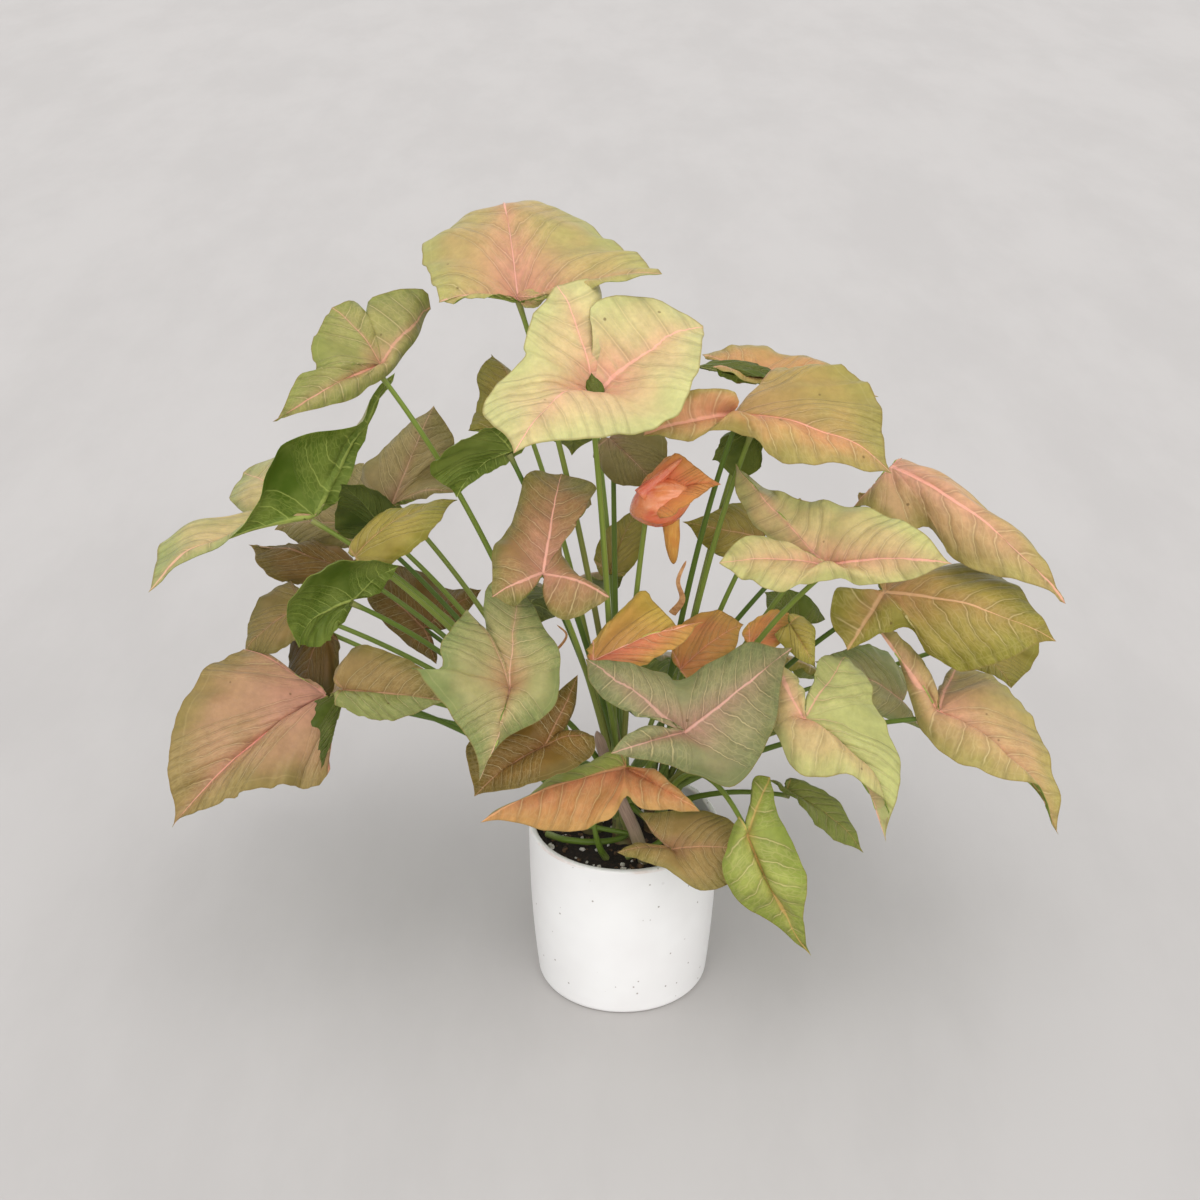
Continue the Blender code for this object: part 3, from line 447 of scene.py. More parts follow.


# blade shapes in millimetres: points run from beside the tip round to the lobe's end, then in along the cleft
# each blade's brightness share is partly its own tone and partly painted light and shade for how much light
# falls on it
leafShapes = {
    "crown_top": dict(
        stem="mid", look="crownPink", flush=1.1, toneAndPaintedLight=0.96,
        knee=(-65, 0, 490), tip=(-80, 110, 505),
        left=[(-105, 95, 510), (-125, 45, 510), (-110, -25, 500)],
        leftInner=[(-80, -15, 500)],
        right=[(-45, 105, 515), (-15, 60, 515), (20, -25, 515)],
        rightInner=[(0, -30, 515), (-25, -25, 505)],
        arch=(36, 16, 4), wave=1),
    "centre_large": dict(
        stem="mid", look="paleYellow", flush=1.2, toneAndPaintedLight=1.04,
        knee=(-20, -60, 450), tip=(-60, -140, 455),
        left=[(-40, -135, 455), (-15, -130, 455), (25, -100, 455), (40, -70, 470), (45, -35, 490)],
        leftInner=[(15, -20, 500), (-20, -35, 500), (-15, -45, 480)],
        right=[(-75, -125, 460), (-80, -110, 465), (-70, -90, 475), (-60, -75, 480), (-60, -60, 485),
        (-55, -45, 495), (-40, -30, 510)],
        rightInner=[(-20, -20, 510), (-15, -20, 495), (-25, -45, 480)],
        arch=(16, 8, 8), wave=3),
    "upper_left": dict(
        stem="left", look="sagePink", flush=0.7, toneAndPaintedLight=0.95,
        knee=(-150, 0, 450), tip=(-205, -50, 435),
        left=[(-170, -35, 440), (-145, -5, 445), (-130, 20, 460), (-120, 35, 475)],
        leftInner=[(-125, 40, 485), (-140, 40, 485), (-160, 35, 480), (-155, 20, 465)],
        right=[(-195, -35, 455), (-185, -25, 455), (-190, -5, 465), (-180, 20, 480)],
        rightInner=[(-165, 30, 480), (-155, 15, 465)],
        arch=(8, 6, 6), wave=1),
    "left_folded": dict(
        stem="left", look="creamGreen", flush=0.6, toneAndPaintedLight=1.0,
        knee=(-200, 20, 340), tip=(-295, -40, 325),
        left=[(-255, -25, 340), (-235, -10, 355), (-220, 0, 385), (-210, 5, 400), (-175, 15, 405),
        (-160, 25, 420), (-145, 30, 435)],
        leftInner=[(-165, 30, 395), (-180, 25, 360)],
        right=[(-295, 10, 330), (-250, 40, 330), (-265, 70, 330), (-260, 95, 340)],
        rightInner=[(-235, 100, 350), (-215, 60, 340)],
        arch=(8, 8, 4), wave=1),
    "left_mauve": dict(
        stem="left", look="dustyMauve", flush=0.7, toneAndPaintedLight=1.05,
        knee=(-155, 60, 330), tip=(-130, 110, 380),
        left=[(-150, 100, 370), (-160, 90, 360), (-175, 80, 350), (-185, 85, 325)],
        leftInner=[(-170, 70, 320)],
        right=[(-120, 105, 370), (-115, 95, 360), (-120, 80, 345), (-110, 30, 355)],
        rightInner=[(-130, 40, 345)],
        arch=(8, 6, 4), wave=1),
    "left_inner": dict(
        stem="left", look="dustyMauve", flush=0.4, toneAndPaintedLight=1.0,
        knee=(-175, 100, 295), tip=(-245, 125, 285),
        left=[(-225, 105, 280), (-210, 100, 280), (-190, 90, 285)],
        leftInner=[(-180, 90, 285)],
        right=[(-230, 140, 300), (-210, 155, 315), (-185, 150, 325)],
        rightInner=[(-175, 120, 310)],
        arch=(8, 6, 4), wave=1),
    "left_dark": dict(
        stem="left", look="freshGreen", flush=0.2, toneAndPaintedLight=0.5,
        knee=(-155, 35, 320), tip=(-180, 15, 365),
        left=[(-160, 20, 360), (-150, 25, 345), (-145, 30, 330)],
        leftInner=[(-150, 35, 325)],
        right=[(-185, 25, 350), (-190, 35, 325), (-180, 40, 315)],
        rightInner=[(-170, 40, 310)],
        arch=(3, 3, 2), wave=1),
    "left_olive": dict(
        stem="left", look="oliveYellow", flush=0.3, toneAndPaintedLight=1.05,
        knee=(-170, -20, 330), tip=(-110, -10, 365),
        left=[(-130, -5, 360), (-155, 0, 350), (-175, -10, 335)],
        leftInner=[(-175, -15, 330)],
        right=[(-115, -30, 360), (-135, -35, 340), (-155, -30, 325)],
        rightInner=[(-165, -25, 325)],
        arch=(8, 6, 3), wave=1),
    "mid_left_turned": dict(
        stem="mid", look="freshGreen", flush=0.3, toneAndPaintedLight=1.0,
        knee=(-70, -15, 400), tip=(-105, -10, 370),
        left=[(-120, -25, 390), (-105, -30, 410), (-85, -30, 420)],
        leftInner=[(-70, -25, 420)],
        right=[(-90, -10, 380), (-75, -10, 390), (-55, -10, 405)],
        rightInner=[(-65, -12, 400)],
        arch=(6, 5, 4), wave=1, bend=(0, -20, 0)),
    "behind_centre": dict(
        stem="mid", look="oliveYellow", flush=0.5, toneAndPaintedLight=0.9,
        knee=(-60, 40, 390), tip=(-85, 80, 430),
        left=[(-95, 70, 420), (-95, 60, 405), (-100, 30, 395)],
        leftInner=[(-80, 35, 390)],
        right=[(-70, 80, 415), (-50, 70, 405), (-40, 60, 390)],
        rightInner=[(-50, 50, 390)],
        arch=(6, 5, 4), wave=1),
    "mid_brown": dict(
        stem="mid", look="roseBrown", flush=1.2, toneAndPaintedLight=1.03,
        knee=(-50, -75, 345), tip=(-40, -15, 385),
        left=[(-60, -20, 385), (-70, -40, 365), (-80, -60, 355), (-80, -95, 340)],
        leftInner=[(-65, -95, 335), (-55, -80, 340)],
        right=[(-20, -20, 380), (-20, -30, 375), (-40, -55, 350), (-10, -85, 335)],
        rightInner=[(-30, -95, 325), (-45, -90, 325)],
        arch=(8, 6, 4), wave=2),
    "front_left": dict(
        stem="mid", look="sageGreen", flush=1.0, toneAndPaintedLight=1.05,
        knee=(-70, -110, 285), tip=(-85, -150, 250),
        left=[(-75, -140, 265), (-45, -125, 280), (-40, -110, 290), (-40, -95, 300), (-50, -80, 310),
        (-65, -55, 335)],
        leftInner=[(-85, -60, 330), (-85, -80, 310)],
        right=[(-90, -145, 265), (-105, -140, 290), (-120, -135, 310), (-125, -130, 310),
        (-110, -120, 305), (-110, -110, 315), (-95, -80, 325)],
        rightInner=[(-85, -85, 315), (-75, -100, 295)],
        arch=(12, 8, 6), wave=2, bend=(0, 25, 0)),
    "front_brown": dict(
        stem="mid", look="warmBrown", flush=0.6, toneAndPaintedLight=0.98,
        knee=(-50, -110, 245), tip=(-90, -130, 225),
        left=[(-65, -140, 235), (-35, -130, 240), (-20, -115, 245), (-20, -105, 250)],
        leftInner=[(-35, -100, 250)],
        right=[(-95, -125, 240), (-95, -115, 250), (-75, -105, 255), (-50, -90, 265), (-30, -75, 275)],
        rightInner=[(-30, -85, 265), (-40, -100, 245)],
        arch=(6, 5, 4), wave=1),
    "front_orange": dict(
        stem="mid", look="orangeGreen", flush=0.9, toneAndPaintedLight=1.0, half=-0.9,
        knee=(0, -85, 215), tip=(-85, -125, 205),
        left=[(-65, -125, 200), (-35, -120, 190), (-10, -120, 200), (0, -110, 210), (10, -115, 205),
        (45, -120, 205)],
        leftInner=[(25, -105, 220), (10, -95, 220)],
        right=[(-65, -105, 205), (-40, -85, 210), (-15, -70, 215), (-5, -60, 210)],
        rightInner=[(0, -70, 215)],
        arch=(8, 6, 4), wave=1),
    "rim_right": dict(
        stem="mid", look="tanBrown", flush=0.8, toneAndPaintedLight=1.2,
        knee=(30, -80, 150), tip=(75, -95, 160),
        left=[(70, -80, 170), (50, -65, 170), (10, -60, 165)],
        leftInner=[(15, -60, 155), (25, -70, 150)],
        right=[(65, -110, 145), (45, -110, 140), (25, -100, 150), (-5, -90, 155)],
        rightInner=[(10, -80, 155)],
        arch=(6, 5, 3), wave=1),
    "low_right": dict(
        stem="right", look="leafGreen", flush=0.5, toneAndPaintedLight=1.02,
        knee=(75, -115, 185), tip=(115, -130, 105),
        left=[(110, -135, 140), (110, -125, 165), (95, -105, 195), (90, -90, 210)],
        leftInner=[(80, -90, 210), (75, -105, 195)],
        right=[(95, -130, 125), (70, -130, 145), (60, -125, 170), (70, -110, 195)],
        rightInner=[(70, -110, 190)],
        arch=(8, 6, 4), wave=1, bend=(0, 10, 60)),
    "low_right_small": dict(
        stem="right", look="leafGreen", flush=0.3, toneAndPaintedLight=0.75,
        knee=(105, -50, 175), tip=(155, -70, 145),
        left=[(145, -55, 160), (135, -45, 170), (110, -40, 180)],
        leftInner=[(105, -45, 180)],
        right=[(135, -75, 155), (115, -70, 175), (95, -50, 185)],
        rightInner=[(100, -45, 180)],
        arch=(5, 4, 2), wave=1),
    "right_pale": dict(
        stem="right", look="strawPink", flush=0.9, toneAndPaintedLight=1.0, half=0.8,
        knee=(110, -85, 250), tip=(160, -120, 190),
        left=[(165, -115, 210), (170, -100, 225), (160, -70, 240), (155, -50, 260), (140, -40, 270)],
        leftInner=[(125, -40, 270), (115, -65, 260)],
        right=[(160, -120, 210), (145, -125, 225), (130, -125, 235), (105, -115, 230), (95, -95, 240),
        (90, -70, 245), (95, -50, 270)],
        rightInner=[(105, -60, 265), (110, -75, 260)],
        arch=(10, 8, 5), wave=2),
    "front_centre": dict(
        stem="mid", look="sageMauve", flush=1.0, toneAndPaintedLight=0.95,
        knee=(35, -110, 255), tip=(100, -70, 290),
        left=[(75, -70, 295), (50, -80, 285), (30, -90, 280), (20, -85, 285), (-25, -90, 295)],
        leftInner=[(-20, -100, 280), (0, -110, 270), (25, -110, 265)],
        right=[(95, -80, 270), (90, -100, 250), (65, -130, 230), (40, -130, 240), (15, -135, 250),
        (-10, -135, 255)],
        rightInner=[(0, -130, 265), (15, -120, 265)],
        arch=(8, 7, 6), wave=1),
    "new_orange": dict(
        stem="mid", look="newOrange", flush=1.4, toneAndPaintedLight=0.98, half=0.5,
        knee=(-20, -65, 280), tip=(45, -50, 300),
        left=[(35, -50, 295), (20, -40, 305), (10, -30, 310), (-20, -55, 290)],
        leftInner=[(-25, -60, 285)],
        right=[(35, -60, 290), (10, -70, 280), (-10, -75, 275)],
        rightInner=[(-20, -75, 275)],
        arch=(5, 4, 2), wave=1),
    "new_curled": dict(
        stem="mid", look="budRed", flush=1.0, toneAndPaintedLight=1.0,
        knee=(10, -20, 365), tip=(55, -30, 385),
        left=[(40, -25, 395), (30, -20, 400), (20, -10, 390)],
        leftInner=[(10, -10, 375)],
        right=[(40, -45, 380), (25, -50, 370), (15, -30, 365)],
        rightInner=[(10, -25, 365)],
        arch=(6, 6, 2), wave=1),
    "right_pointed": dict(
        stem="right", look="strawPink", flush=1.0, toneAndPaintedLight=1.0,
        knee=(120, -75, 350), tip=(185, -100, 365),
        left=[(170, -85, 380), (140, -55, 380), (100, -30, 375), (65, -10, 390)],
        leftInner=[(70, -20, 370), (85, -40, 355), (105, -60, 350)],
        right=[(170, -100, 355), (145, -100, 350), (120, -90, 350), (85, -100, 345), (55, -80, 355)],
        rightInner=[(65, -70, 365), (85, -65, 365), (100, -70, 355)],
        arch=(8, 6, 5), wave=2),
    "upper_right": dict(
        stem="right", look="orangePink", flush=1.1, toneAndPaintedLight=1.0, half=0.55,
        knee=(65, -20, 425), tip=(155, -50, 405),
        left=[(155, -30, 420), (150, -5, 435), (130, 15, 445), (100, 25, 440)],
        leftInner=[(90, 15, 430), (75, -5, 425)],
        right=[(145, -60, 405), (125, -60, 410), (95, -60, 410), (80, -50, 420), (60, -40, 425),
        (35, -50, 420), (10, -50, 425)],
        rightInner=[(15, -40, 435), (40, -30, 445), (65, -20, 440)],
        arch=(12, 8, 5), wave=2),
    "upper_right_back": dict(
        stem="right", look="orangePink", flush=0.8, toneAndPaintedLight=0.95,
        knee=(85, 50, 420), tip=(160, 50, 415),
        left=[(135, 70, 425), (100, 85, 430), (75, 85, 435), (50, 70, 430)],
        leftInner=[(65, 55, 430)],
        right=[(135, 40, 420), (100, 35, 425), (55, 35, 435)],
        rightInner=[(65, 45, 425)],
        arch=(6, 5, 4), wave=1),
    "right_turned": dict(
        stem="right", look="freshGreen", flush=0.2, toneAndPaintedLight=0.8,
        knee=(80, -5, 410), tip=(55, 0, 390),
        left=[(60, -5, 405), (70, -5, 410)],
        leftInner=[(75, -5, 415)],
        right=[(70, 15, 370), (85, 15, 375), (85, 5, 390)],
        rightInner=[(85, 0, 400)],
        arch=(3, 3, 2), wave=0),
    "far_right_long": dict(
        stem="right", look="tanPink", flush=1.0, toneAndPaintedLight=1.03,
        knee=(170, 20, 375), tip=(270, -40, 315),
        left=[(260, -25, 335), (235, 5, 350), (205, 25, 360), (180, 45, 370)],
        leftInner=[(175, 35, 370)],
        right=[(240, -40, 325), (210, -30, 330), (190, -10, 345), (175, -10, 340), (155, 0, 355),
        (145, 5, 355)],
        rightInner=[(150, 10, 360), (165, 20, 370)],
        arch=(14, 6, 4), wave=1),
    "right_olive": dict(
        stem="right", look="oliveYellow", flush=1.1, toneAndPaintedLight=1.0,
        knee=(165, -20, 305), tip=(265, -50, 290),
        left=[(260, -40, 300), (245, -15, 310), (225, 10, 310), (200, 20, 300), (175, 35, 300)],
        leftInner=[(165, 15, 305)],
        right=[(240, -60, 280), (210, -60, 270), (190, -50, 280), (175, -40, 290), (140, -50, 280)],
        rightInner=[(130, -35, 295), (135, -20, 310), (150, -15, 305)],
        arch=(12, 8, 5), wave=2),
    "right_olive_back": dict(
        stem="right", look="oliveYellow", flush=0.3, toneAndPaintedLight=0.85,
        knee=(230, 50, 235), tip=(265, 30, 210),
        left=[(280, 45, 215), (285, 55, 230), (260, 75, 245)],
        leftInner=[(240, 65, 240)],
        right=[(245, 30, 220), (230, 30, 225), (210, 35, 235)],
        rightInner=[(215, 45, 235)],
        arch=(5, 4, 3), wave=1),
    "far_right_low": dict(
        stem="right", look="tanPink", flush=0.8, toneAndPaintedLight=1.05,
        knee=(200, -50, 235), tip=(275, -90, 175),
        left=[(275, -75, 195), (265, -45, 220), (250, -20, 240), (235, -10, 240), (220, 0, 240)],
        leftInner=[(210, -10, 240), (200, -30, 235)],
        right=[(255, -90, 205), (235, -90, 210), (210, -80, 215), (190, -60, 225), (180, -40, 255),
        (160, -30, 285)],
        rightInner=[(175, -30, 280), (190, -40, 265)],
        arch=(10, 8, 5), wave=2),
    "right_grey": dict(
        stem="right", look="sageGreen", flush=0.4, toneAndPaintedLight=1.2,
        knee=(185, 0, 215), tip=(130, 0, 245),
        left=[(140, -15, 230), (155, -20, 220), (200, 5, 190)],
        leftInner=[(190, 5, 205)],
        right=[(145, 15, 245), (170, 30, 240), (195, 35, 215)],
        rightInner=[(190, 20, 215)],
        arch=(5, 4, 3), wave=1),
    "mid_olive": dict(
        stem="right", look="oliveYellow", flush=0.6, toneAndPaintedLight=1.0,
        knee=(90, 20, 325), tip=(40, 10, 340),
        left=[(50, 10, 325), (65, 10, 315), (90, 20, 310)],
        leftInner=[(95, 20, 315)],
        right=[(60, 20, 345), (75, 30, 345), (95, 40, 335)],
        rightInner=[(95, 30, 335)],
        arch=(5, 4, 3), wave=1),
    "new_green_upper": dict(
        stem="right", look="freshGreen", flush=0.2, toneAndPaintedLight=1.0,
        knee=(115, 20, 260), tip=(95, 30, 280),
        left=[(95, 15, 275), (110, 10, 255)],
        leftInner=[(115, 10, 255)],
        right=[(110, 35, 280), (125, 30, 275), (135, 30, 260)],
        rightInner=[(125, 25, 260)],
        arch=(3, 3, 2), wave=0),
    "new_green_lower": dict(
        stem="right", look="oliveYellow", flush=0.3, toneAndPaintedLight=1.35,
        knee=(105, -25, 285), tip=(120, -45, 265),
        left=[(120, -40, 275), (120, -30, 285), (115, -15, 285)],
        leftInner=[(105, -20, 290)],
        right=[(110, -45, 270), (100, -35, 275), (95, -30, 280)],
        rightInner=[(100, -30, 285)],
        arch=(3, 3, 2), wave=0, bend=(40, -20, -10)),
    "new_yellow_small": dict(
        stem="right", look="newOrange", flush=0.5, toneAndPaintedLight=1.1,
        knee=(80, -25, 270), tip=(105, -10, 285),
        left=[(95, -5, 285), (80, -15, 280)],
        leftInner=[(75, -20, 275)],
        right=[(105, -20, 275), (95, -30, 270), (90, -30, 265)],
        rightInner=[(85, -30, 270)],
        arch=(3, 3, 2), wave=0),
    "new_yellow": dict(
        stem="right", look="newOrange", flush=0.4, toneAndPaintedLight=0.92,
        knee=(35, -40, 260), tip=(75, -15, 280),
        left=[(60, -5, 285), (40, -10, 280), (30, -30, 270)],
        leftInner=[(30, -35, 265)],
        right=[(70, -30, 270), (55, -40, 260), (40, -45, 255)],
        rightInner=[(40, -45, 255)],
        arch=(5, 4, 2), wave=0),
    "under_centre": dict(
        stem="mid", look="dustyMauve", flush=0.7, toneAndPaintedLight=0.9,
        knee=(-10, 30, 390), tip=(20, 0, 370),
        left=[(25, 5, 380), (25, 20, 395), (10, 40, 395)],
        leftInner=[(0, 40, 395)],
        right=[(5, 0, 370), (-10, 10, 370), (-20, 25, 380)],
        rightInner=[(-15, 30, 390)],
        arch=(6, 5, 3), wave=1),
    "mid_yellow": dict(
        stem="mid", look="oliveYellow", flush=0.3, toneAndPaintedLight=0.85,
        knee=(-10, 40, 290), tip=(10, 70, 325),
        left=[(0, 65, 320), (-15, 55, 310), (-20, 40, 300)],
        leftInner=[(-15, 35, 290)],
        right=[(15, 55, 315), (10, 45, 300), (0, 35, 290)],
        rightInner=[(-5, 35, 290)],
        arch=(4, 4, 2), wave=0),
    "left_brown_back": dict(
        stem="left", look="warmBrown", flush=0.3, toneAndPaintedLight=0.9,
        knee=(-180, 60, 280), tip=(-260, 100, 285),
        left=[(-250, 80, 275), (-230, 65, 270), (-190, 55, 275)],
        leftInner=[(-185, 55, 275)],
        right=[(-245, 95, 285), (-225, 90, 290), (-200, 85, 290), (-185, 75, 285)],
        rightInner=[(-180, 65, 285)],
        arch=(5, 4, 3), wave=1),
    "left_turned": dict(
        stem="left", look="freshGreen", flush=0.3, toneAndPaintedLight=0.95,
        knee=(-170, -40, 310), tip=(-200, -80, 300),
        left=[(-205, -80, 320), (-195, -80, 340), (-170, -65, 350), (-140, -45, 335)],
        leftInner=[(-155, -40, 315)],
        right=[(-190, -65, 290), (-180, -50, 295)],
        rightInner=[(-175, -50, 300)],
        arch=(8, 8, 4), wave=1),
    "left_reddish": dict(
        stem="left", look="tanBrown", flush=0.6, toneAndPaintedLight=0.9,
        knee=(-215, 30, 270), tip=(-250, 5, 250),
        left=[(-235, 0, 250), (-220, 5, 255), (-210, 10, 260)],
        leftInner=[(-210, 25, 265)],
        right=[(-250, 25, 260), (-245, 40, 270), (-225, 50, 280)],
        rightInner=[(-215, 40, 275)],
        arch=(5, 4, 3), wave=1),
    "left_low_dark": dict(
        stem="left", look="warmBrown", flush=0.4, toneAndPaintedLight=0.55,
        knee=(-200, 30, 255), tip=(-215, -10, 220),
        left=[(-195, -10, 225), (-190, 5, 235), (-190, 15, 250)],
        leftInner=[(-195, 25, 255)],
        right=[(-225, 15, 230), (-225, 25, 240), (-215, 40, 260)],
        rightInner=[(-205, 35, 260)],
        arch=(4, 4, 3), wave=1),
    "left_low_green": dict(
        stem="left", look="tanBrown", flush=0.4, toneAndPaintedLight=0.95, half=-0.8,
        knee=(-180, -40, 245), tip=(-115, -70, 255),
        left=[(-125, -60, 270), (-155, -40, 275), (-175, -30, 270), (-185, -30, 255)],
        leftInner=[(-185, -35, 250)],
        right=[(-140, -75, 245), (-165, -65, 240), (-185, -50, 240)],
        rightInner=[(-185, -45, 245)],
        arch=(6, 5, 3), wave=1),
    "mid_left_brown": dict(
        stem="left", look="warmBrown", flush=0.6, toneAndPaintedLight=0.85,
        knee=(-140, 85, 225), tip=(-180, 120, 245),
        left=[(-180, 105, 235), (-160, 85, 220), (-130, 60, 210)],
        leftInner=[(-130, 70, 215)],
        right=[(-165, 125, 255), (-140, 120, 250), (-125, 110, 245), (-100, 105, 245)],
        rightInner=[(-110, 90, 235), (-125, 85, 225)],
        arch=(5, 4, 3), wave=1),
    "far_left_low": dict(
        stem="left", look="clayPink", flush=1.1, toneAndPaintedLight=1.0,
        knee=(-195, -20, 230), tip=(-285, -80, 175),
        left=[(-260, -90, 190), (-235, -85, 200), (-215, -80, 200), (-200, -70, 190), (-190, -60, 195)],
        leftInner=[(-190, -40, 210)],
        right=[(-290, -70, 200), (-290, -50, 220), (-285, -35, 235), (-270, -15, 250), (-250, 0, 255)],
        rightInner=[(-225, -5, 245)],
        arch=(14, 10, 6), wave=2, bend=(0, 0, 35)),
}


# geometry helpers, all in millimetres until a mesh is made
def unit(vector):
    return vector / np.maximum(np.linalg.norm(vector, axis=-1, keepdims=True), 1e-9)


def smoothStep(value, low, high):
    share = np.clip((value - low) / (high - low), 0.0, 1.0)
    return share * share * (3 - 2 * share)


def smoothLine(points, count):
    # a smooth curve through the points, as count even points after the first
    points = np.asarray(points, float)
    ends = np.vstack([2 * points[0] - points[1], points, 2 * points[-1] - points[-2]])
    share = np.linspace(0.0, 1.0, 13)[1:, None]
    fine = [points[:1]]
    for i in range(1, len(ends) - 2):
        before, start, end, after = ends[i - 1:i + 3]
        fine.append(0.5 * (2 * start + (end - before) * share
                           + (2 * before - 5 * start + 4 * end - after) * share ** 2
                           + (3 * start - before - 3 * end + after) * share ** 3))
    fine = np.vstack(fine)
    run = np.concatenate([[0.0], np.cumsum(np.linalg.norm(np.diff(fine, axis=0), axis=1))])
    at = np.linspace(0.0, run[-1], count + 1)[1:]
    return np.column_stack([np.interp(at, run, fine[:, axis]) for axis in range(points.shape[1])])


def meshObject(name, points, faces, materials, faceSlots=None, sharpAngle=None):
    # points come in millimetres
    mesh = bpy.data.meshes.new(name)
    mesh.from_pydata((np.asarray(points) * mm).tolist(), [], [list(face) for face in faces])
    for material in materials:
        mesh.materials.append(material)
    if faceSlots is not None:
        mesh.polygons.foreach_set("material_index", np.asarray(faceSlots, dtype=np.int32))
    mesh.shade_smooth()
    if sharpAngle is not None:
        mesh.set_sharp_from_angle(angle=math.radians(sharpAngle))
    mesh.update()
    piece = bpy.data.objects.new(name, mesh)
    bpy.context.scene.collection.objects.link(piece)
    return piece


def addUvMap(piece, name, values):
    layer = piece.data.uv_layers.new(name=name)
    layer.uv.foreach_set("vector", np.asarray(values, dtype=np.float32).ravel())


def register(piece, node, slot=None):
    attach(piece, "root")
    if node:
        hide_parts(node)
    slot or slotOfNode[node]


# blades
bladeSettings = {
    "knotShare": 0.03,
    "stepLength": 2.7,
    "mostSideSteps": 52,
    "fewestSideSteps": 22,
    "ringLength": 2.5,
    "mostRings": 40,
    "fewestRings": 16,
    "thickness": 0.55,
    "edgeThickness": 0.30,
    "ribThickness": 1.5,
    "groove": 0.006,
    "grooveWidth": 0.040,
    "puff": 0.0026,
    "buckle": 0.017,
    "frill": 0.007,
    "rollDown": 0.010,
    "tipPinch": 0.6,
    "tipWay": 0.10,
    "tipGrowth": 0.045,
    "tipDroop": 0.05,
    "edgeNotch": 0.006,
    "sharpAngle": 62,
}
flatBlade = {
    "outline": [(1.0, 0.0), (0.78, 0.16), (0.48, 0.32), (0.12, 0.42), (-0.2, 0.43), (-0.44, 0.3)],
    "cleft": [(-0.25, 0.12)],
    "cleftTurn": 33.0,
}


def halfMargin(shape, side, sideSteps, cleftSteps):
    # one side's margin from tip to knee, with how far round each point is, 0 to 3
    outer, inner = np.array(shape[side], float), np.array(shape[side + "Inner"], float)
    knee, lobe = np.array(shape["knee"], float), outer[-1]
    outside = smoothLine([shape["tip"], *outer], sideSteps)
    cleft = smoothLine([lobe, *inner, knee + (inner[-1] - knee) * bladeSettings["knotShare"]], cleftSteps)
    way = np.concatenate([2 * np.arange(1, sideSteps + 1) / sideSteps, 2
                          + np.arange(1, cleftSteps + 1) / cleftSteps])
    return np.vstack([outside, cleft]), way


def flatRelief(flatX, flatY):
    # rib grooves and the puffed skin between side veins, both from 0 to 1, in flat blade coordinates
    aside = np.abs(flatY)
    turn = math.radians(veinPlan["lobeAngle"])
    lobeX = flatX * math.cos(turn) + aside * math.sin(turn)
    lobeY = np.abs(aside * math.cos(turn) - flatX * math.sin(turn))
    width = bladeSettings["grooveWidth"]
    rib = (1 - smoothStep(aside, 0.0, width)) * smoothStep(flatX, -0.01, 0.04)
    lobeRib = (1 - smoothStep(lobeY, 0.0, width)) * smoothStep(lobeX, -0.01, 0.04)

    def betweenVeins(along, away, spacing):
        start = along - veinPlan["firstSlope"] * away - veinPlan["curl"] * away ** 2
        return start, np.abs(np.sin(math.pi * start / spacing)) * smoothStep(away, 0.0, 0.06)

    sideStart, sidePuff = betweenVeins(flatX, aside, veinPlan["spacing"])
    lobeStart, lobePuff = betweenVeins(lobeX, lobeY, veinPlan["lobeSpacing"])
    puff = np.where(sideStart > 0, sidePuff, np.where(lobeStart > 0, lobePuff, 0.0))
    return np.maximum(rib, lobeRib), puff


def surfaceNormals(grid, knee, upward):
    # normals of a grid of rings by margin points, on the side that upward shows
    around = np.gradient(grid, axis=1)
    outward = np.gradient(np.concatenate([np.broadcast_to(knee, grid[:1].shape), grid]), axis=0)[1:]
    normals = unit(np.cross(around, outward))
    facing = np.sign(np.sum(normals * upward[None], axis=2, keepdims=True))
    return normals * np.where(facing == 0, 1.0, facing)


